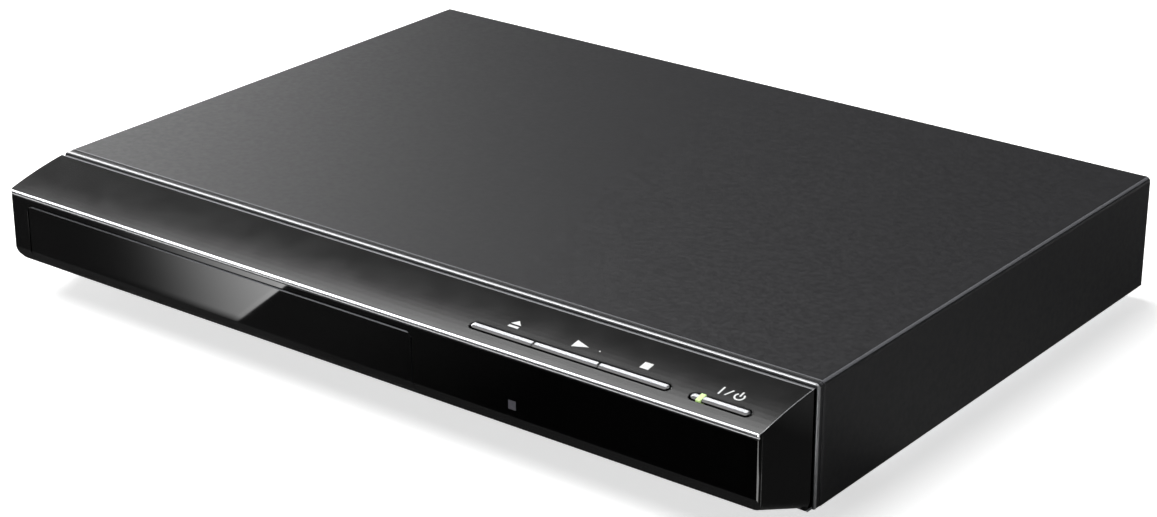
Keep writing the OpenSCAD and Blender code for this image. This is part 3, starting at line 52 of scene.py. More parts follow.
# The crowned slope on top of the bezel, in millimetres: its lip, its rear edge and its crown
SLOPE_LIP = (-103.5, 33.65)
SLOPE_REAR = (-81.4, 37.85)
SLOPE_CROWN = 0.45

# Painted highlights on the cover, in metres: back from its front edge, and in from its sides
HEM_HIGHLIGHT = (-0.001, 0.001)
HEM_HIGHLIGHT_FLAT = (0.0001, 0.0003)
STEP_HIGHLIGHT = (0.0028, 0.00315)
FOLD_HIGHLIGHT_START = (0.001, 0.003)
FOLD_HIGHLIGHT = (0.0011, 0.0004)

# Painted highlights on the bezel, in metres, counted from its lip, from the height of the lip, from
# the rear edge of the slope and from the right end
LIP_HIGHLIGHT_DEPTH = (-0.001, 0.00045)
LIP_HIGHLIGHT_UPPER = (-0.0006, 0.001)
LIP_HIGHLIGHT_LOWER = (-0.00125, -0.00085)
REAR_HIGHLIGHT = (-0.0006, -0.0004)
END_HIGHLIGHT = (-0.0035, -0.003)
# The slope starts here, from the height of the lip, and its key grooves lie here, from the lip
SLOPE_FOOT = (-0.001, -0.0005)
GROOVES = (0.002, 0.019)

# The plane of the key tops: its rise over run, and its height where y is 0
KEY_RISE = 0.19
KEY_HEIGHT = 0.05367
# The painted shadow in the joint of two keys: full up to here on both sides, gone at the second
# distance
KEY_JOINT = (0.0003, 0.0004)

# The thickness of the printed symbols in millimetres, from under the surface to above it
PRINT_DEPTH = (-0.01, 0.025)

# The transformer's windings start this far in from both ends of its core
WINDINGS_INSET = 0.0051

# The room: it grows lighter between these angles, and its bright wall starts and ends at others,
# in radians from the back towards the left; the wall fades out upwards between two heights
ROOM_LIGHTER = (-0.17, 0.52)
WALL_START = (0.688, 0.883)
WALL_END = (2.5, 2.7)
WALL_TOP = (0.156, 0.265)
# The room is open towards this x and y; the opening fades in sideways and out upwards
OPEN_WAY = (0.75, -0.66)
OPEN_START = (0.15, 0.6)
OPEN_TOP = (0.1, 0.3)

# The white floor: its radius, and the distances between which it is lifted to white
FLOOR_RADIUS = 4.0
FLOOR_LIFT = (0.8, 2.6)

# The card: its outline, and its height over the floor
CARD_OUTLINE = ((-0.5, -0.45), (0.5, -0.45), (0.5, 0.35), (0.13, 0.35), (0.13, -0.05), (-0.5, -0.05))
CARD_HEIGHT = 0.0003
# The panel of light on it fades in from a slanting line x = slant * y + place, over a distance, and
# is cut off by a second one, along which a narrow strip is brighter still, and by its front edge
PANEL_START = (1.29, 0.0693)
PANEL_FADE = 0.008
PANEL_MOST = 7.0
PANEL_END = (0.25, -0.035)
PANEL_STRIP = (-0.0022, -0.0018)
PANEL_STRIP_GAIN = 1.12
PANEL_FRONT = (-0.1315, -0.1275)
# The light under the chin, from front to back
CHIN_Y = (-0.12, -0.06)
# From here on the card lies beside the player, not before it
CARD_SIDE = (0.134, 0.136)
# The bright corner at the front right, from left to right and from front to back, and its softness
CORNER_X = (0.142, 0.175)
CORNER_Y = (-0.17, -0.112)
CORNER_SOFT = 0.004


# Small tools

def linear(colour):
    """An sRGB hex colour as Blender's linear colour."""
    channels = [int(colour[i:i + 2], 16) / 255 for i in (1, 3, 5)]
    return [c / 12.92 if c <= 0.04045 else ((c + 0.055) / 1.055) ** 2.4 for c in channels] + [1.0]


def per_mm(size):
    """The texture scale that gives features of a size in millimetres."""
    return 1000.0 / size


def add(tree, kind, inputs=None, stops=None, **settings):
    """Adds a node with its settings; each input is a value or the socket that feeds it."""
    node = tree.nodes.new(kind)
    for key, value in settings.items():
        setattr(node, key, value)
    feed(tree, node, inputs or {})
    if stops:
        colours = node.color_ramp
        while len(colours.elements) < len(stops):
            colours.elements.new(0.5)
        for element, (place, colour) in zip(colours.elements, stops):
            element.position = place
            element.color = linear(colour)
    return node


def new_finish(name):
    """An empty material with its node tree, its shader and the place on the object."""
    finish = bpy.data.materials.new(name)
    finish.use_nodes = True
    tree = finish.node_tree
    tree.nodes.clear()
    shader = add(tree, "ShaderNodeBsdfPrincipled")
    add(tree, "ShaderNodeOutputMaterial", {"Surface": shader.outputs["BSDF"]})
    place = add(tree, "ShaderNodeTexCoord").outputs["Object"]
    return finish, tree, shader, place


def feed(tree, node, values):
    """Sets or links several inputs of a node."""
    for key, value in values.items():
        if isinstance(value, bpy.types.NodeSocket):
            tree.links.new(value, node.inputs[key])
        else:
            node.inputs[key].default_value = value


def reckon(tree, operation, *values):
    """A sum on values or sockets."""
    return add(tree, "ShaderNodeMath", dict(enumerate(values)), operation=operation).outputs[0]


def ramp(tree, value, start, end, low=0.0, high=1.0, **settings):
    """A value drawn from one range into another, held at both ends."""
    return add(tree, "ShaderNodeMapRange", {"Value": value, "From Min": start, "From Max": end,
                                            "To Min": low, "To Max": high}, **settings).outputs[0]


def shifted(bounds, start):
    """Two bounds, counted from a start."""
    return [start + bound for bound in bounds]


def both(tree, *shares):
    """The product of shares: 1 where every one of them is."""
    result = shares[0]
    for share in shares[1:]:
        result = reckon(tree, "MULTIPLY", result, share)
    return result


def either(tree, *shares):
    """The largest of shares: 1 where one of them is."""
    result = shares[0]
    for share in shares[1:]:
        result = reckon(tree, "MAXIMUM", result, share)
    return result


def without(tree, share):
    """What a share leaves of 1."""
    return reckon(tree, "SUBTRACT", 1.0, share)


def within(tree, value, low, high, soft=0.00005):
    """1 where a value in metres lies between two bounds, fading to 0 over a short distance."""
    return both(tree, ramp(tree, value, low - soft, low),
                ramp(tree, value, high, high + soft, 1.0, 0.0))


def axes(tree, vector):
    """The x, y and z of a vector."""
    return add(tree, "ShaderNodeSeparateXYZ", {"Vector": vector}).outputs


def facing(tree):
    """The way the surface faces, as x, y and z."""
    return axes(tree, add(tree, "ShaderNodeTexCoord").outputs["Normal"])


def blend_colour(tree, share, first, second):
    """Two colours blended by a share."""
    first, second = (linear(c) if isinstance(c, str) else c for c in (first, second))
    return add(tree, "ShaderNodeMix", {"Factor": share, 6: first, 7: second},
               data_type="RGBA").outputs[2]


def blend_value(tree, share, first, second):
    """Two values blended by a share."""
    return add(tree, "ShaderNodeMix", {"Factor": share, 2: first, 3: second},
               data_type="FLOAT").outputs[0]


def grain(tree, place, size, detail=3.0, stretch=None):
    """Noise with features of a size in millimetres, drawn out along an axis if asked."""
    if stretch:
        place = add(tree, "ShaderNodeMapping", {"Vector": place, "Scale": stretch}).outputs[0]
    return add(tree, "ShaderNodeTexNoise", {"Vector": place, "Scale": per_mm(size),
                                            "Detail": detail}).outputs["Fac"]


def stripes(tree, share, *stops):
    """Plain colours side by side; each starts at its own share."""
    node = add(tree, "ShaderNodeValToRGB", {"Fac": share}, stops=stops)
    node.color_ramp.interpolation = "CONSTANT"
    return node.outputs["Color"]


def ripple(tree, place, size, direction):
    """Even ridges and hollows along an axis, each about as wide as a size in millimetres."""
    return add(tree, "ShaderNodeTexWave", {"Vector": place, "Scale": per_mm(size) / math.tau},
               wave_type="BANDS", bands_direction=direction).outputs["Fac"]


def flakes(tree, place, size):
    """Flat cells of a size in millimetres, each with its own value."""
    cells = add(tree, "ShaderNodeTexVoronoi", {"Vector": place, "Scale": per_mm(size)})
    return add(tree, "ShaderNodeRGBToBW", {"Color": cells.outputs["Color"]}).outputs[0]


def spread(tree, share, low, high):
    """A noise value drawn out between two bounds."""
    return ramp(tree, share, 0.3, 0.7, low, high)


def edges(tree, radius):
    """The way the surface would face if its edges were rounded by a radius in millimetres."""
    return axes(tree, add(tree, "ShaderNodeBevel", {"Radius": radius / 1000.0}, samples=8).outputs[0])


def relief(tree, height, depth, strength=1.0, edge=0.0):
    """A bump of a depth in millimetres, over edges rounded by a radius in millimetres."""
    inputs = {"Height": height, "Distance": depth / 1000.0, "Strength": strength}
    if edge:
        inputs["Normal"] = add(tree, "ShaderNodeBevel", {"Radius": edge / 1000.0},
                               samples=6).outputs[0]
    return add(tree, "ShaderNodeBump", inputs).outputs[0]


def scaled(colour, factor):
    """A linear colour made darker or lighter."""
    return [min(1.0, channel * factor) for channel in colour[:3]] + [1.0]


def dress(finish, *nodes):
    """Gives CAD nodes a finish."""
    for name in nodes:
        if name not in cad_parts:
            raise RuntimeError("the frame has no node " + name)
        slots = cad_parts[name].data.materials
        slots.clear()
        slots.append(finish)


# Finishes that several pieces share

def moulded(name, colour, rough, ior=1.5, texture=0.35, depth=0.01, mottle=0.12, **more):
    """Injection moulded plastic: even colour, a fine spark-eroded texture, faint flow marks."""
    finish, tree, shader, place = new_finish(name)
    fine = grain(tree, place, texture)
    flow = grain(tree, place, 14.0, 2.0)
    base = linear(colour)
    tone = blend_colour(tree, flow, scaled(base, 1 - mottle), scaled(base, 1 + mottle))
    feed(tree, shader, {"Base Color": tone, "IOR": ior,
                        "Roughness": spread(tree, fine, rough - 0.05, rough + 0.05),
                        "Normal": relief(tree, fine, depth, edge=0.12), **more})
    return finish


def plated(name, colour, rough, brush=None, spot=2.0, depth=0.004, **more):
    """Plated or unplated metal: brushed, rolled or ground, with slight clouding."""
    finish, tree, shader, place = new_finish(name)
    marks = grain(tree, place, 0.25, 4.0, brush)
    cloud = grain(tree, place, spot, 3.0)
    base = linear(colour)
    tone = blend_colour(tree, cloud, scaled(base, 0.8), base)
    feed(tree, shader, {"Base Color": tone, "Metallic": 1.0,
                        "Roughness": spread(tree, marks, rough - 0.06, rough + 0.08),
                        "Normal": relief(tree, marks, depth, edge=0.08), **more})
    return finish


def rubber(name, colour, texture=0.5):
    """Moulded rubber: matt, dusty in its texture, no clear highlight."""
    finish, tree, shader, place = new_finish(name)
    fine = grain(tree, place, texture, 4.0)
    tone = blend_colour(tree, spread(tree, fine, 0.0, 0.35), colour, "#4a4a49")
    feed(tree, shader, {"Base Color": tone, "Roughness": spread(tree, fine, 0.72, 0.9), "IOR": 1.52,
                        "Normal": relief(tree, fine, 0.03, edge=0.2)})
    return finish


# Settings

def colour_property(name, description, default):
    """A colour, given as sRGB hex."""
    return bpy.props.FloatVectorProperty(name=name, description=description, subtype="COLOR",
                                         size=3, min=0.0, max=1.0, default=linear(default)[:3])


def length_property(name, description, default):
    """A length in metres."""
    return bpy.props.FloatProperty(name=name, description=description, default=default,
                                   unit="LENGTH", subtype="DISTANCE", min=0.0)


def place_property(name, description, default):
    """A place in metres."""
    return bpy.props.FloatVectorProperty(name=name, description=description, default=default,
                                         unit="LENGTH", subtype="TRANSLATION")


def strength_property(name, description, default):
    """A strength of light."""
    return bpy.props.FloatProperty(name=name, description=description, default=default, min=0.0)


class StageSettings(bpy.types.PropertyGroup):
    lens: bpy.props.FloatProperty(name="Lens", description="Focal length on a 36 mm wide sensor",
                                  default=84.14, min=1.0, unit="CAMERA")
    camera_place: place_property("Camera place", "Where the camera stands",
                                 (0.45339, -0.59199, 0.32457))
    camera_turn: bpy.props.FloatVectorProperty(
        name="Camera turn", description="Tilt, roll and turn of the camera", subtype="EULER",
        unit="ROTATION", default=(math.radians(67.203), 0.0, math.radians(37.501)))
    room_left: strength_property("Room, left", "Light from the left part of the room", 0.14)
    room_right: strength_property("Room, right", "Light from the right part of the room", 0.03)
    band: strength_property("Band", "Light of the low bright wall on the left", 8.0)
    key: strength_property("Key light", "Power of the large softbox in watts", 20.5)
    key_size: length_property("Key size", "Diameter of the large softbox", 1.35)
    key_place: place_property("Key place", "Where the large softbox hangs",
                              (-0.495, -0.087, 1.09))
    floor_lift: strength_property("Floor lift", "Light that the floor adds to seem white", 0.65)
    card_glow: strength_property("Card glow", "How fast the card grows brighter to its edge",
                                 0.776)
    card_corner: strength_property("Card corner", "Brightness of the card at the front right",
                                   5.0)


class CoverSettings(bpy.types.PropertyGroup):
    paint: colour_property("Paint", "Colour of the textured cover paint", "#141417")
    # The edge colour is the painted highlight on the cover's hem
    edge: colour_property("Edge", "Colour of the bright front edge of the cover", "#a4a5a8")
    paint_grain: length_property("Paint grain", "Size of the texture in the cover paint", 0.0004)


class BezelSettings(bpy.types.PropertyGroup):
    gloss: colour_property("Gloss", "Colour of the gloss front", "#030303")
    # The lip colour is the painted highlight on the bezel's lip
    lip_highlight_colour: colour_property("Trim", "Colour of the bright lip", "#d9dadc")
    # The chamfer colour is the painted highlight on the door's chamfer
    chamfer_highlight: colour_property("Chamfer", "Colour of the polished chamfer of the door", "#4c4d50")


class SymbolSettings(bpy.types.PropertyGroup):
    ink: colour_property("Ink", "Colour of the printed symbols", "#f2f3f3")
    line: length_property("Line", "Width of the drawn lines", 0.0005)
    back: length_property("Distance", "Distance of the symbols behind the lip", 0.0114)


GROUPS = (
    ("player_stage", StageSettings),
    ("player_cover", CoverSettings),
    ("player_bezel", BezelSettings),
    ("player_symbols", SymbolSettings),
)


def chosen(colour):
    """A colour property as a shader colour."""
    return [*colour, 1.0]


# Cover and case

class DISCPLAYER_OT_cover(bpy.types.Operator):
    """Paint the folded cover and its screws"""
    bl_idname = "discplayer.cover"
    bl_label = "Cover"

    def execute(self, context):
        settings = context.scene.player_cover
        # Textured baked paint on sheet steel, satin. Its rolled hem carries a painted highlight of
        # bright metal and near-white paint, and pale lines where the band behind the hem steps down
        # and on the folds are painted highlights. The grain of the paint is too fine to show, so the
        # larger part of it is drawn coarser, as specks
        finish, tree, shader, place = new_finish("textured_charcoal_paint")
        xyz = axes(tree, place)
        y = xyz["Y"]
        fine = grain(tree, place, settings.paint_grain * 1000, 4.0)
        specks = grain(tree, place, 1.7, 2.0)
        way = facing(tree)
        up = ramp(tree, way["Z"], 0.6, 0.75)
        out = ramp(tree, way["X"], 0.3, 0.4)
        hem_highlight = both(tree, within(tree, y, *shifted(HEM_HIGHLIGHT, COVER[0].y)),
                   either(tree, up, both(tree, out, 0.5)))
        # Pale painted highlights on the step of the band behind the hem and on the folds
        step_highlight = both(tree, within(tree, y, *shifted(STEP_HIGHLIGHT, COVER[0].y)),
                    ramp(tree, way["Z"], 0.3, 0.9, 0.15, 1.0))
        side = reckon(tree, "ABSOLUTE", xyz["X"])
        fold_highlight = both(tree, within(tree, side, *(COVER[1].x - inset for inset in FOLD_HIGHLIGHT)),
                    both(tree, ramp(tree, way["Z"], 0.2, 0.4),
                         ramp(tree, y, *shifted(FOLD_HIGHLIGHT_START, COVER[0].y))))
        paint = chosen(settings.paint)
        tone = blend_colour(tree, spread(tree, specks, 0.0, 1.0), paint, scaled(paint, 1.25))
        tone = blend_colour(tree, either(tree, step_highlight, fold_highlight), tone, "#75767a")
        # The hem's painted highlight is paler paint on its top than on its round front, and less like
        # a mirror
        flat = ramp(tree, y, *shifted(HEM_HIGHLIGHT_FLAT, COVER[0].y))
        bright = blend_colour(tree, flat, chosen(settings.edge), "#d2d3d5")
        matt = spread(tree, blend_value(tree, 0.75, fine, specks), 0.35, 0.48)
        feed(tree, shader, {
            "Base Color": blend_colour(tree, hem_highlight, tone, bright),
            "Metallic": both(tree, hem_highlight, without(tree, flat)),
            "Roughness": blend_value(tree, hem_highlight, matt, 0.22),
            "IOR": 1.55,
            "Normal": relief(tree, blend_value(tree, 0.6, fine, specks), 0.016, edge=0.3),
        })
        dress(finish, "top_cover")
        # Black oxide screws: a thin dark skin over steel, slightly clouded
        dress(plated("black_oxide", "#3a3a3e", 0.42), "cover_screws")
        return {"FINISHED"}


class DISCPLAYER_OT_case(bpy.types.Operator):
    """Finish the chassis, the rear panel and the feet"""
    bl_idname = "discplayer.case"
    bl_label = "Chassis and feet"

    def execute(self, context):
        # Hot-dip zinc sheet: cool grey, small spangle, rolled streaks along the sheet
        finish, tree, shader, place = new_finish("zinc_coated_sheet")
        spangle = flakes(tree, place, 3.0)
        streaks = grain(tree, place, 0.5, 4.0, (0.05, 1.0, 1.0))
        feed(tree, shader, {
            "Base Color": blend_colour(tree, spangle, "#a6a9ad", "#c2c5c8"), "Metallic": 1.0,
            "Roughness": spread(tree, streaks, 0.3, 0.46),
            "Normal": relief(tree, streaks, 0.004, edge=0.15)})
        dress(finish, "bottom_chassis")
        # Satin black paint on the rear panel, over the same sheet
        finish, tree, shader, place = new_finish("satin_black_paint")
        fine = grain(tree, place, 0.45, 4.0)
        feed(tree, shader, {
            "Base Color": blend_colour(tree, spread(tree, fine, 0.0, 1.0), "#17171a", "#242428"),
            "Roughness": spread(tree, fine, 0.42, 0.55), "IOR": 1.45,
            "Normal": relief(tree, fine, 0.015, edge=0.2)})
        dress(finish, "rear_panel")
        dress(rubber("moulded_foot_rubber", "#1c1c1d"), "feet")
        return {"FINISHED"}


# Front

def on_slope(x, back, out):
    """A point on the crowned slope, in metres: along the case, back from the lip and out of it."""
    run, rise = SLOPE_REAR[0] - SLOPE_LIP[0], SLOPE_REAR[1] - SLOPE_LIP[1]
    chord = math.hypot(run, rise)
    radius = chord ** 2 / (8 * SLOPE_CROWN) + SLOPE_CROWN / 2
    tilt = math.atan2(rise, run) + math.asin((chord / 2 - back) / radius)
    crown = math.sqrt(radius ** 2 - (back - chord / 2) ** 2) - radius + SLOPE_CROWN
    along = Vector((0, run / chord, rise / chord))
    normal = Vector((0, -rise / chord, run / chord))
    point = Vector((x, *SLOPE_LIP)) + along * back + normal * crown
    surface = Matrix.Rotation(tilt, 3, "X") @ Vector((0, 0, 1))
    return (point + surface * out) / 1000


def printed(name, outlines, ink, back):
    """Thin ink shapes on the slope; each outline holds points across and back, in millimetres."""
    mesh = bmesh.new()
    for outline in outlines:
        low, high = ([mesh.verts.new(on_slope(x, back + y, out)) for x, y in outline]
                     for out in PRINT_DEPTH)
        mesh.faces.new(high)
        mesh.faces.new(low[::-1])
        for i in range(len(outline)):
            j = (i + 1) % len(outline)
            mesh.faces.new((low[i], low[j], high[j], high[i]))
    bmesh.ops.recalc_face_normals(mesh, faces=mesh.faces)
    data = bpy.data.meshes.new(name)
    mesh.to_mesh(data)
    mesh.free()
    data.materials.append(ink)
    piece = bpy.data.objects.new(name, data)
    bpy.context.scene.collection.objects.link(piece)
    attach(piece, "case")
    return piece


def stroke(x, y, end_x, end_y, width):
    """A straight line of the symbols, as wide along the case as its width says."""
    half = width / 2
    return [(x - half, y), (end_x - half, end_y), (end_x + half, end_y), (x + half, y)]


def arc(x, y, radius, width, start, end, steps=20):
    """Quadrilaterals along an arc, angles in degrees from the back towards the right."""
    parts = []
    for i in range(steps):
        a, b = (math.radians(start + (end - start) * (i + k) / steps) for k in (0, 1))
        inner, outer = radius - width / 2, radius + width / 2
        parts.append([(x + outer * math.sin(a), y + outer * math.cos(a)),
                      (x + outer * math.sin(b), y + outer * math.cos(b)),
                      (x + inner * math.sin(b), y + inner * math.cos(b)),
                      (x + inner * math.sin(a), y + inner * math.cos(a))])
    return parts


class DISCPLAYER_OT_bezel(bpy.types.Operator):
    """Finish the bezel, its slope and lip, the door and the sensor window"""
    bl_idname = "discplayer.bezel"
    bl_label = "Bezel and door"

    def execute(self, context):
        settings = context.scene.player_bezel
        lip_y, lip_z = BEZEL[0].y, SLOPE_LIP[1] / 1000
        # High-gloss ABS: a deep black face that mirrors the room, a painted highlight on its lip as a
        # hard double line of bright metal and pale paint at its top, and a slope that is polished a
        # little less, with a painted highlight as a pale line along its rear edge and its right end
        finish, tree, shader, place = new_finish("gloss_abs_with_painted_lip_highlight")
        xyz, way, turn = axes(tree, place), facing(tree), edges(tree, 0.5)
        front = within(tree, xyz["Y"], *shifted(LIP_HIGHLIGHT_DEPTH, lip_y))
        upper = within(tree, xyz["Z"], *shifted(LIP_HIGHLIGHT_UPPER, lip_z))
        lower = within(tree, xyz["Z"], *shifted(LIP_HIGHLIGHT_LOWER, lip_z))
        lip_highlight = both(tree, front, either(tree, upper, lower))
        slope = both(tree, ramp(tree, way["Z"], 0.6, 0.7),
                     ramp(tree, xyz["Z"], *shifted(SLOPE_FOOT, lip_z)))
        rear = both(tree, ramp(tree, turn["Y"], -0.08, 0.02),
                    ramp(tree, xyz["Y"], *shifted(REAR_HIGHLIGHT, SLOPE_REAR[0] / 1000)))
        # Round the mouths of the key grooves the slope is smoother, so it mirrors the dark room
        flatness = reckon(tree, "ADD", both(tree, turn["Y"], way["Y"]),
                          both(tree, turn["Z"], way["Z"]))
        mouth = both(tree, ramp(tree, flatness, 0.995, 0.985),
                     within(tree, xyz["Y"], *shifted(GROOVES, lip_y)))
        end = both(tree, ramp(tree, turn["X"], 0.1, 0.2),
                   ramp(tree, xyz["X"], *shifted(END_HIGHLIGHT, BEZEL[1].x)))
        # A painted highlight: a pale line along the rear edge and the right end of the slope
        line = both(tree, slope, either(tree, rear, end))
        smear = grain(tree, place, 9.0, 2.0)
        gloss = chosen(settings.gloss)
        worn = scaled(gloss, 1.6)
        black = blend_colour(tree, line, blend_colour(tree, smear, gloss, worn), "#a9aaad")
        polish = blend_value(tree, reckon(tree, "SUBTRACT", slope, mouth),
                             spread(tree, smear, 0.03, 0.06), spread(tree, smear, 0.2, 0.24))
        feed(tree, shader, {
            "Base Color": blend_colour(tree, lip_highlight, black, chosen(settings.lip_highlight_colour)),
            "Metallic": both(tree, lip_highlight, upper),
            "Roughness": blend_value(tree, lip_highlight, polish, 0.18),
            "IOR": 1.5,
            "Normal": relief(tree, smear, 0.002, edge=0.12),
        })
        dress(finish, "front_bezel")
        # The door is the same gloss ABS; the chamfer round its face has a painted highlight of grey
        # metal
        finish, tree, shader, place = new_finish("gloss_abs_door")
        smear = grain(tree, place, 9.0, 2.0)
        way = facing(tree)
        ahead = ramp(tree, way["Y"], -0.4, -0.6)
        slant = either(tree, reckon(tree, "ABSOLUTE", way["X"]), way["Z"])
        chamfer_highlight = both(tree, ahead, ramp(tree, slant, 0.4, 0.6))
        feed(tree, shader, {
            "Base Color": blend_colour(tree, chamfer_highlight, blend_colour(tree, smear, gloss, worn),
                                       chosen(settings.chamfer_highlight)),
            "Metallic": chamfer_highlight,
            "Roughness": blend_value(tree, chamfer_highlight, spread(tree, smear, 0.03, 0.06), 0.3), "IOR": 1.5,
            "Normal": relief(tree, smear, 0.002, edge=0.2)})
        dress(finish, "tray_door")
        # Smoked acrylic: dark grey with a violet tint and a slight haze, glossy
        finish, tree, shader, place = new_finish("smoked_acrylic_window")
        haze = grain(tree, place, 0.6, 2.0)
        feed(tree, shader, {
            "Base Color": blend_colour(tree, haze, "#454449", "#56555b"),
            "Roughness": spread(tree, haze, 0.12, 0.2), "IOR": 1.49})
        dress(finish, "sensor_window")
        return {"FINISHED"}


class DISCPLAYER_OT_buttons(bpy.types.Operator):
    """Finish the four buttons and the power light"""
    bl_idname = "discplayer.buttons"
    bl_label = "Buttons"

    def execute(self, context):
        # Silver lacquered ABS: satin, with a glitter of aluminium flake that is drawn coarser than
        # the real one, which is too fine to show
        finish, tree, shader, place = new_finish("silver_lacquered_abs")
        flake = flakes(tree, place, 0.12)
        # The lacquer covers the top; as painted shade the front facet is darker, and the walls and
        # what sinks below the key tops are black as painted shadow
        way = facing(tree)
        front = ramp(tree, way["Y"], -0.33, -0.4)
        xyz = axes(tree, place)
        level = reckon(tree, "MULTIPLY_ADD", xyz["Y"], KEY_RISE, KEY_HEIGHT)
        sunk = ramp(tree, reckon(tree, "SUBTRACT", xyz["Z"], level), -0.00005, -0.0001)
        painted_shade = either(tree, ramp(tree, way["Z"], 0.75, 0.65), sunk)
        # Along the joints between the keys and along their edges is black painted shadow
        joints = [reckon(tree, "ABSOLUTE", reckon(tree, "SUBTRACT", xyz["X"], corner.x))
                  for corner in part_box("play_button")]
        joint = ramp(tree, reckon(tree, "MINIMUM", *joints), *KEY_JOINT, 1.0, 0.0)
        turn = edges(tree, 0.35)
        rim = either(tree, ramp(tree, turn["Y"], -0.05, 0.1), ramp(tree, turn["Y"], -0.4, -0.5))
        painted_shade = either(tree, painted_shade, either(tree, rim, joint))
        silver = blend_colour(tree, flake, "#acadb0", "#c6c7ca")
        tone = blend_colour(tree, painted_shade, blend_colour(tree, front, silver, "#525356"), "#040404")
        feed(tree, shader, {
            "Base Color": tone, "Metallic": without(tree, painted_shade),
            "Roughness": blend_value(tree, painted_shade, spread(tree, flake, 0.2, 0.28), 0.03),
            "Normal": relief(tree, flake, 0.002)})
        dress(finish, "eject_button", "play_button", "stop_button", "power_button")
        # Milky green light guide, lit from below
        finish, tree, shader, place = new_finish("lit_green_light_guide")
        milk = grain(tree, place, 0.5, 2.0)
        glow = blend_colour(tree, milk, "#b4dc7c", "#d3efac")
        feed(tree, shader, {"Base Color": glow, "Emission Color": glow, "Emission Strength": 0.45,
                            "Roughness": spread(tree, milk, 0.25, 0.35), "IOR": 1.49})
        dress(finish, "power_light")
        return {"FINISHED"}


class DISCPLAYER_OT_symbols(bpy.types.Operator):
    """Print the transport and power symbols on the slope"""
    bl_idname = "discplayer.symbols"
    bl_label = "Printed symbols"

    def execute(self, context):
        settings = context.scene.player_symbols
        # Pad-printed white ink: matt, slightly uneven in thickness
        ink, tree, shader, place = new_finish("white_pad_print")
        cover = grain(tree, place, 0.3, 3.0)
        paint = chosen(settings.ink)
        feed(tree, shader, {"Base Color": blend_colour(tree, cover, scaled(paint, 0.85), paint),
                            "Roughness": spread(tree, cover, 0.45, 0.6), "IOR": 1.5})
        back = settings.back * 1000
        w = settings.line * 1000
        keys = {n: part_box(n + "_button") for n in ("eject", "play", "stop", "power")}
        mid = {n: (b[0].x + b[1].x) * 500 for n, b in keys.items()}
        x = mid["eject"] + 0.6
        bar = [(x - 1.65, -1.8), (x - 1.65, -0.95), (x + 1.65, -0.95), (x + 1.65, -1.8)]
        printed("eject_symbol", [[(x - 1.65, -0.3), (x - 0.1, 1.5), (x + 1.65, -0.3)], bar], ink, back)
        x = mid["play"] + 0.95
        printed("play_symbol", [[(x - 2.1, -1.75), (x - 2.1, 1.35), (x + 2.5, -0.2)]], ink, back)
        x += 6.1
        turns = [corner * math.pi / 4 for corner in range(8)]
        dot = [(x + 0.25 * math.sin(a), 0.25 * math.cos(a) - 0.3) for a in turns]
        printed("play_dot", [dot], ink, back)
        x = mid["stop"] + 0.1
        square = [(x - 1.35, -1.5), (x - 1.35, 1.2), (x + 1.35, 1.2), (x + 1.35, -1.5)]
        printed("stop_symbol", [square], ink, back)
        x = mid["power"] - 3.15
        printed("on_symbol", [stroke(x, -1.9, x, 1.25, w)], ink, back)
        x += 2.3
        printed("slash_symbol", [stroke(x - 0.6, -1.6, x + 0.6, 1.0, w)], ink, back)
        x += 3.25
        circle = [[(a, b - 0.6) for a, b in part] for part in arc(x, 0, 1.3, w, 42, 318)]
        printed("standby_symbol", [*circle, stroke(x, -0.45, x, 1.5, w)], ink, back)
        return {"FINISHED"}


# Tray and loader

class DISCPLAYER_OT_tray(bpy.types.Operator):
    """Finish the disc tray"""
    bl_idname = "discplayer.tray"
    bl_label = "Disc tray"

    def execute(self, context):
        # Black ABS: a spark-eroded texture and faint flow marks, matt
        finish, tree, shader, place = new_finish("textured_black_abs")
        fine = grain(tree, place, 0.4, 4.0)
        flow = grain(tree, place, 18.0, 2.0)
        feed(tree, shader, {
            "Base Color": blend_colour(tree, flow, "#1b1b1e", "#232327"),
            "Roughness": spread(tree, fine, 0.45, 0.6), "IOR": 1.5,
            "Normal": relief(tree, fine, 0.02, edge=0.25)})
        dress(finish, "tray")
        return {"FINISHED"}


class DISCPLAYER_OT_loader(bpy.types.Operator):
    """Finish the loader: frame, wheels, belt, motor, cam slider and clamper"""
    bl_idname = "discplayer.loader"
    bl_label = "Loader"

    def execute(self, context):
        dress(moulded("black_polystyrene_frame", "#232326", 0.5, depth=0.015), "loader_frame")
        # Natural acetal: waxy, slightly translucent ivory with a soft highlight
        waxy = {"Subsurface Weight": 0.15, "Subsurface Scale": 0.001}
        dress(moulded("natural_acetal", "#e0dccf", 0.38, 1.48, mottle=0.03, **waxy),
              "drive_gear", "pulley_gear", "motor_pulley", "cam_slider")
        dress(rubber("ground_belt_rubber", "#161616", 0.3), "drive_belt")
        dress(plated("nickel_plated_can", "#b9bbbf", 0.28, (0.2, 0.2, 1.0)), "loading_motor",
              "spindle_motor", "sled_motor")
        dress(plated("zinc_plated_bridge", "#b3b6ba", 0.34, (0.06, 1.0, 1.0), 4.0), "clamper_bridge",
              "traverse_plate")
        dress(moulded("white_acetal_clamper", "#e9e7e0", 0.4, 1.48, mottle=0.03), "clamper")
        dress(plated("sintered_magnet", "#6d6e72", 0.55, None, 0.6, 0.02), "clamper_magnet")
        dress(plated("zinc_plated_screws", "#b4b7bb", 0.3), "loader_screws", "traverse_screws",
              "board_screws")
        return {"FINISHED"}


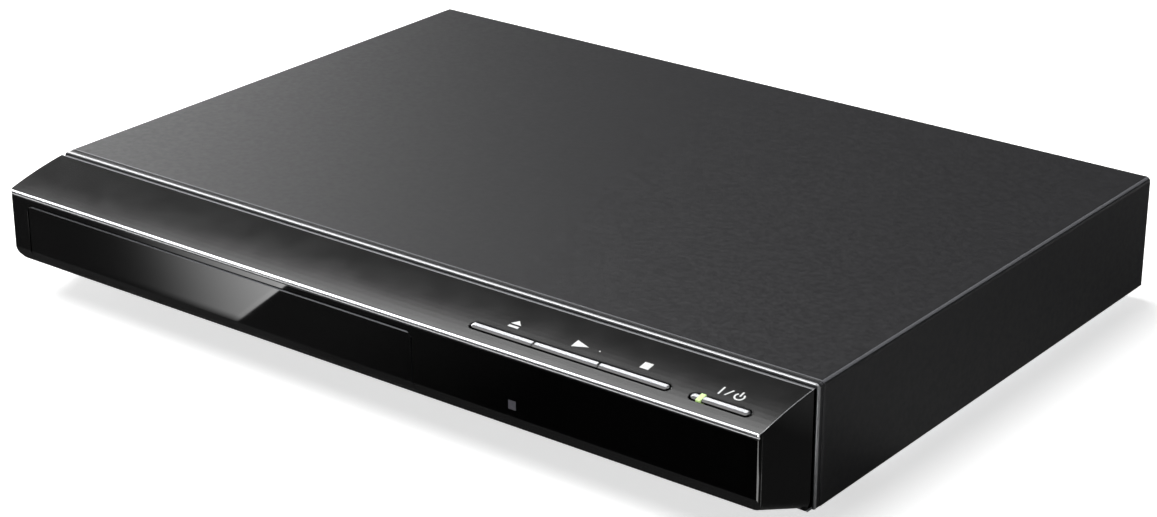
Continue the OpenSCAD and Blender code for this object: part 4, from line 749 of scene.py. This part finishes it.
class DISCPLAYER_OT_drive(bpy.types.Operator):
    """Finish the disc drive: holder, turntable, rods, pickup and lead screw"""
    bl_idname = "discplayer.drive"
    bl_label = "Disc drive"

    def execute(self, context):
        dress(moulded("black_abs_holder", "#202023", 0.52), "traverse_holder")
        dress(rubber("soft_bush_rubber", "#141414", 0.8), "traverse_bushes")
        dress(moulded("black_acetal_turntable", "#1d1d20", 0.3, 1.48), "turntable")
        dress(plated("ground_steel_rod", "#c6c8cb", 0.12, (1.0, 0.1, 1.0), 1.0, 0.001), "guide_rods")
        dress(moulded("mineral_filled_sled", "#3b3e43", 0.55, 1.55, 0.25, 0.02, 0.2), "pickup_sled")
        # Rolled screw: the thread is drawn as a ripple along it, coarser than the real one, with
        # ridges painted lighter as a painted highlight
        finish, tree, shader, place = new_finish("rolled_screw_steel")
        thread = ripple(tree, place, 1.0, "Y")
        feed(tree, shader, {"Base Color": blend_colour(tree, thread, "#8f9194", "#d2d4d6"),
                            "Metallic": 1.0, "Roughness": spread(tree, thread, 0.28, 0.18),
                            "Normal": relief(tree, thread, 0.15)})
        dress(finish, "lead_screw")
        # Coated moulded lens: bluish violet clear plastic
        finish, tree, shader, place = new_finish("coated_lens")
        ring = grain(tree, place, 3.0, 1.0)
        feed(tree, shader, {"Base Color": blend_colour(tree, ring, "#5d6ba8", "#7a6fb4"),
                            "Roughness": spread(tree, ring, 0.03, 0.06), "IOR": 1.5,
                            "Transmission Weight": 0.4, "Coat Weight": 0.6, "Coat Roughness": 0.03})
        dress(finish, "pickup_lens")
        return {"FINISHED"}


# Boards and rear

def laminate(name, mask, trace, pads="#c9ccc9"):
    """Circuit board: solder mask over tracks, drawn coarser than real as lighter lines, and pads."""
    finish, tree, shader, place = new_finish(name)
    cells = add(tree, "ShaderNodeTexVoronoi",
                {"Vector": place, "Scale": per_mm(2.4), "Randomness": 0.75},
                feature="DISTANCE_TO_EDGE")
    tracks = ramp(tree, cells.outputs["Distance"], 0.09, 0.13, 1.0, 0.0)
    spots = add(tree, "ShaderNodeTexVoronoi", {"Vector": place, "Scale": per_mm(3.2)})
    pad = ramp(tree, spots.outputs["Distance"], 0.14, 0.17, 1.0, 0.0)
    tone = blend_colour(tree, tracks, mask, trace)
    feed(tree, shader, {
        "Base Color": blend_colour(tree, pad, tone, pads), "Metallic": pad,
        "Roughness": blend_value(tree, pad, 0.32, 0.4), "IOR": 1.5,
        "Normal": relief(tree, tracks, 0.03, edge=0.1)})
    return finish


class DISCPLAYER_OT_boards(bpy.types.Operator):
    """Finish the circuit boards and what stands on them"""
    bl_idname = "discplayer.boards"
    bl_label = "Circuit boards"

    def execute(self, context):
        dress(laminate("green_glass_epoxy", "#14492c", "#2a6b43"), "front_board", "main_board")
        dress(laminate("brown_paper_phenolic", "#a37b44", "#b78f55"), "power_board")
        dress(moulded("black_epoxy_chips", "#1b1b1d", 0.55, 1.55, 0.2, 0.02), "main_chips")
        dress(moulded("black_switch_plastic", "#2b2b2d", 0.45), "button_switches")
        dress(moulded("clear_diode_epoxy", "#d5e3cb", 0.15, 1.55, mottle=0.03,
                      **{"Transmission Weight": 0.5}), "power_led")
        dress(moulded("dark_sensor_epoxy", "#1a1216", 0.15, 1.55), "remote_sensor")
        # Printed shrink sleeve with a pale band on its right side, and an uncovered metal lid
        finish, tree, shader, place = new_finish("shrink_sleeved_can")
        way = facing(tree)
        lid = ramp(tree, way["Z"], 0.7, 0.8)
        sleeve = blend_colour(tree, ramp(tree, way["X"], 0.86, 0.9), "#20263c", "#b9bcc4")
        fine = grain(tree, place, 0.5, 2.0)
        feed(tree, shader, {"Base Color": blend_colour(tree, lid, sleeve, "#c3c5c8"),
                            "Metallic": lid, "Roughness": spread(tree, fine, 0.22, 0.34),
                            "Normal": relief(tree, fine, 0.01, edge=0.4)})
        dress(finish, "main_capacitors", "mains_capacitor")
        # Yellow polyester tape round the windings, and a dark core at both sides, whose sheets are
        # drawn thicker than real
        finish, tree, shader, place = new_finish("taped_transformer")
        low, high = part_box("transformer")
        windings = within(tree, axes(tree, place)["Y"], low.y + WINDINGS_INSET,
                          high.y - WINDINGS_INSET)
        stack = ripple(tree, place, 0.7, "Z")
        core = blend_colour(tree, stack, "#2a2a2c", "#4a4a4d")
        feed(tree, shader, {"Base Color": blend_colour(tree, windings, core, "#d8b32c"),
                            "Roughness": blend_value(tree, windings, 0.5, 0.22),
                            "Normal": relief(tree, stack, 0.03, edge=0.3)})
        dress(finish, "transformer")
        dress(plated("extruded_aluminium", "#b4b6b9", 0.35, (1.0, 1.0, 0.08)), "heat_sink")
        dress(moulded("brown_filter_epoxy", "#6f4324", 0.4), "mains_filter")
        # Polyester ribbon: white film; its conductors are too fine to show and drawn as broad
        # slanting bands
        finish, tree, shader, place = new_finish("film_flat_cable")
        lines = ripple(tree, place, 1.25, "DIAGONAL")
        feed(tree, shader, {"Base Color": blend_colour(tree, lines, "#dfe1e3", "#b9bcc0"),
                            "Roughness": spread(tree, lines, 0.3, 0.4),
                            "Normal": relief(tree, lines, 0.05)})
        dress(finish, "flat_cables")
        # Vinyl insulated wires, one colour each
        finish, tree, shader, place = new_finish("vinyl_wires")
        low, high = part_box("wire_harness")
        across = ramp(tree, axes(tree, place)["Y"], low.y - 0.0006, high.y + 0.0006)
        colours = stripes(tree, across, (0.0, "#b32424"), (0.2, "#1d1d1f"), (0.4, "#d9c33a"),
                          (0.6, "#2c4da8"), (0.8, "#e6e6e2"))
        skin = grain(tree, place, 0.6, 2.0)
        feed(tree, shader, {"Base Color": colours, "Roughness": spread(tree, skin, 0.35, 0.5),
                            "Normal": relief(tree, skin, 0.02, edge=0.4)})
        dress(finish, "wire_harness")
        return {"FINISHED"}


class DISCPLAYER_OT_sockets(bpy.types.Operator):
    """Finish the rear sockets"""
    bl_idname = "discplayer.sockets"
    bl_label = "Rear sockets"

    def execute(self, context):
        dress(moulded("black_socket_plastic", "#1a1a1c", 0.42), "jack_housings", "mains_inlet")
        dress(plated("nickel_plated_sleeve", "#c8c9c7", 0.16, None, 1.2, 0.001), "jack_sleeves",
              "inlet_pins")
        # Coloured rings: green, blue and red above; yellow, white and red below; black for digital
        finish, tree, shader, place = new_finish("coloured_socket_rings")
        low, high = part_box("jack_rings")
        xyz = axes(tree, place)
        middle = (low.z + high.z) / 2
        left = ramp(tree, xyz["X"], low.x, high.x)
        upper = stripes(tree, left, (0.0, "#2f9c4c"), (0.25, "#2f9c4c"), (0.62, "#2a57b0"),
                        (0.82, "#b52a26"))
        lower = stripes(tree, left, (0.0, "#1b1b1d"), (0.3, "#e0b42a"), (0.62, "#e8e8e4"),
                        (0.82, "#b52a26"))
        row = ramp(tree, xyz["Z"], middle, middle + 0.0001)
        skin = grain(tree, place, 0.5, 2.0)
        feed(tree, shader, {
            "Base Color": blend_colour(tree, row, lower, upper), "IOR": 1.5,
            "Roughness": spread(tree, skin, 0.3, 0.4), "Normal": relief(tree, skin, 0.01, edge=0.2)})
        dress(finish, "jack_rings")
        return {"FINISHED"}


# Studio

class DISCPLAYER_OT_stage(bpy.types.Operator):
    """Set up the floor, the lights and the camera"""
    bl_idname = "discplayer.stage"
    bl_label = "Studio"

    def execute(self, context):
        settings = context.scene.player_stage
        scene = context.scene
        camera = bpy.data.objects.new("camera", bpy.data.cameras.new("camera"))
        scene.collection.objects.link(camera)
        camera.data.lens = settings.lens
        camera.data.sensor_width = 36.0
        camera.data.clip_start, camera.data.clip_end = 0.01, 20.0
        camera.location = settings.camera_place
        camera.rotation_euler = settings.camera_turn
        scene.camera = camera
        scene.view_settings.view_transform = "Standard"
        self.room(scene, settings)
        self.floor(scene, settings)
        self.lamp(scene, "softbox", settings.key, settings.key_size, settings.key_place)
        self.card(scene, settings)
        return {"FINISHED"}

    def room(self, scene, settings):
        """A dim room, darker on the right, with a low bright wall on the left."""
        world = bpy.data.worlds.new("room")
        scene.world = world
        world.use_nodes = True
        tree = world.node_tree
        tree.nodes.clear()
        way = axes(tree, add(tree, "ShaderNodeTexCoord").outputs["Generated"])
        left = reckon(tree, "ARCTAN2", both(tree, way["X"], -1.0), way["Y"])
        dim = ramp(tree, left, *ROOM_LIGHTER, settings.room_right, settings.room_left)
        start = ramp(tree, left, *WALL_START, interpolation_type="SMOOTHSTEP")
        end = ramp(tree, left, *WALL_END, 1.0, 0.0)
        low = ramp(tree, way["Z"], *WALL_TOP, 1.0, 0.0, interpolation_type="SMOOTHSTEP")
        wall = both(tree, start, end, low)
        strength = reckon(tree, "MULTIPLY_ADD", wall, settings.band, dim)
        # White to the camera; mirrors show it white low down at the front right, where it is open
        rays = add(tree, "ShaderNodeLightPath").outputs
        right, back = OPEN_WAY
        aside = reckon(tree, "MULTIPLY_ADD", way["X"], right, both(tree, way["Y"], back))
        opening = both(tree, ramp(tree, aside, *OPEN_START), ramp(tree, way["Z"], *OPEN_TOP, 1.0, 0.0))
        mirrored = either(tree, rays["Is Glossy Ray"], rays["Is Transmission Ray"])
        seen = either(tree, rays["Is Camera Ray"], both(tree, mirrored, opening))
        shown = blend_value(tree, seen, strength, 1.0)
        light = add(tree, "ShaderNodeBackground", {"Color": linear("#ffffff"), "Strength": shown})
        add(tree, "ShaderNodeOutputWorld", {"Surface": light.outputs[0]})

    def floor(self, scene, settings):
        """A white sheet under the player that keeps its shadow."""
        mesh = bmesh.new()
        bmesh.ops.create_circle(mesh, cap_ends=True, segments=96, radius=FLOOR_RADIUS)
        data = bpy.data.meshes.new("floor")
        mesh.to_mesh(data)
        mesh.free()
        floor = bpy.data.objects.new("floor", data)
        scene.collection.objects.link(floor)
        finish, tree, shader, place = new_finish("white_paper_floor")
        fibre = grain(tree, place, 1.5, 3.0)
        rays = add(tree, "ShaderNodeLightPath").outputs
        seen = either(tree, rays["Is Camera Ray"], rays["Is Glossy Ray"],
                      rays["Is Transmission Ray"])
        # Far from the lamp the sheet would turn grey, so it is lifted all the way to white there
        away = add(tree, "ShaderNodeVectorMath", {0: place}, operation="LENGTH").outputs["Value"]
        lift = both(tree, seen, ramp(tree, away, *FLOOR_LIFT, settings.floor_lift, 1.0))
        feed(tree, shader, {"Base Color": blend_colour(tree, fibre, "#efefef", "#f6f6f6"),
                            "Roughness": 0.9, "Specular IOR Level": 0.0,
                            "Emission Color": linear("#ffffff"), "Emission Strength": lift})
        data.materials.append(finish)

    def lamp(self, scene, name, power, size, place):
        """A round soft lamp that faces the player."""
        lamp = bpy.data.lights.new(name, "AREA")
        lamp.shape = "DISK"
        lamp.size = size
        lamp.energy = power
        light = bpy.data.objects.new(name, lamp)
        scene.collection.objects.link(light)
        light.location = place
        aim = Vector((0, 0, 0.02)) - light.location
        light.rotation_euler = aim.to_track_quat("-Z", "Y").to_euler()

    def card(self, scene, settings):
        """A black card in front and on the right, glowing in places, that only mirrors show."""
        mesh = bmesh.new()
        mesh.faces.new([mesh.verts.new((x, y, CARD_HEIGHT)) for x, y in CARD_OUTLINE])
        data = bpy.data.meshes.new("card")
        mesh.to_mesh(data)
        mesh.free()
        card = bpy.data.objects.new("card", data)
        scene.collection.objects.link(card)
        finish = bpy.data.materials.new("gradient_card")
        finish.use_nodes = True
        tree = finish.node_tree
        tree.nodes.clear()
        xyz = axes(tree, add(tree, "ShaderNodeTexCoord").outputs["Object"])
        # A panel of light with a hard slanting right edge, which fades out softly to the left
        across, past = (
            reckon(tree, "SUBTRACT", xyz["X"], reckon(tree, "MULTIPLY_ADD", xyz["Y"], *line))
            for line in (PANEL_START, PANEL_END))
        toe = reckon(tree, "EXPONENT", reckon(tree, "DIVIDE", across, PANEL_FADE))
        fade = reckon(tree, "LOGARITHM", reckon(tree, "ADD", toe, 1.0), math.e)
        cut = both(tree, ramp(tree, past, 0.0, 0.0006, 1.0, 0.0),
                   ramp(tree, xyz["Y"], *PANEL_FRONT, 1.0, 0.0))
        panel = both(tree, reckon(tree, "MINIMUM", fade, PANEL_MOST),
                     both(tree, cut, ramp(tree, past, *PANEL_STRIP, 1.0, PANEL_STRIP_GAIN)))
        # A faint light on the left and middle, and one close to the player for its chin and sides
        haze = ramp(tree, xyz["X"], -0.04, 0.03, 0.08, 0.0)
        chin = both(tree, within(tree, xyz["Y"], *CHIN_Y),
                    ramp(tree, xyz["X"], -0.16, 0.1, 0.035, 0.075))
        side = reckon(tree, "SUBTRACT", ramp(tree, xyz["Y"], -0.045, -0.025, 0.06, 0.17),
                      ramp(tree, xyz["Y"], 0.0, 0.1, 0.0, 0.07))
        side = both(tree, ramp(tree, xyz["X"], *CARD_SIDE), side)
        before = ramp(tree, xyz["X"], *CARD_SIDE, 1.0, 0.0)
        near = reckon(tree, "MULTIPLY_ADD", chin, before, side)
        faint = either(tree, haze, near)
        # The front right corner is bright, for the upright edges
        corner = both(tree, within(tree, xyz["X"], *CORNER_X),
                      within(tree, xyz["Y"], *CORNER_Y, CORNER_SOFT), settings.card_corner)
        glow = reckon(tree, "MULTIPLY_ADD", panel, settings.card_glow, faint)
        shine = add(tree, "ShaderNodeEmission", {"Strength": either(tree, glow, corner)})
        add(tree, "ShaderNodeOutputMaterial", {"Surface": shine.outputs[0]})
        data.materials.append(finish)
        card.visible_camera = False
        card.visible_diffuse = False
        card.visible_transmission = False
        card.visible_shadow = False


OPERATORS = (
    DISCPLAYER_OT_cover, DISCPLAYER_OT_case, DISCPLAYER_OT_bezel, DISCPLAYER_OT_buttons,
    DISCPLAYER_OT_symbols, DISCPLAYER_OT_tray, DISCPLAYER_OT_loader, DISCPLAYER_OT_drive,
    DISCPLAYER_OT_boards, DISCPLAYER_OT_sockets, DISCPLAYER_OT_stage,
)


class DISCPLAYER_PT_panel(bpy.types.Panel):
    """Lists the pieces of the disc player"""
    bl_idname = "DISCPLAYER_PT_panel"
    bl_label = "Disc Player"
    bl_space_type = "VIEW_3D"
    bl_region_type = "UI"
    bl_category = "Disc Player"

    def draw(self, context):
        for operator in OPERATORS:
            self.layout.operator(operator.bl_idname)
        for key, group in GROUPS:
            box = self.layout.box()
            for name in group.__annotations__:
                box.prop(getattr(context.scene, key), name)


def register():
    for key, group in GROUPS:
        bpy.utils.register_class(group)
        setattr(bpy.types.Scene, key, bpy.props.PointerProperty(type=group))
    for cls in (*OPERATORS, DISCPLAYER_PT_panel):
        bpy.utils.register_class(cls)


def unregister():
    for cls in (DISCPLAYER_PT_panel, *reversed(OPERATORS)):
        bpy.utils.unregister_class(cls)
    for key, group in reversed(GROUPS):
        delattr(bpy.types.Scene, key)
        bpy.utils.unregister_class(group)


def main():
    register()
    for operator in OPERATORS:
        group, name = operator.bl_idname.split(".")
        getattr(getattr(bpy.ops, group), name)()


if __name__ == "__main__":
    main()
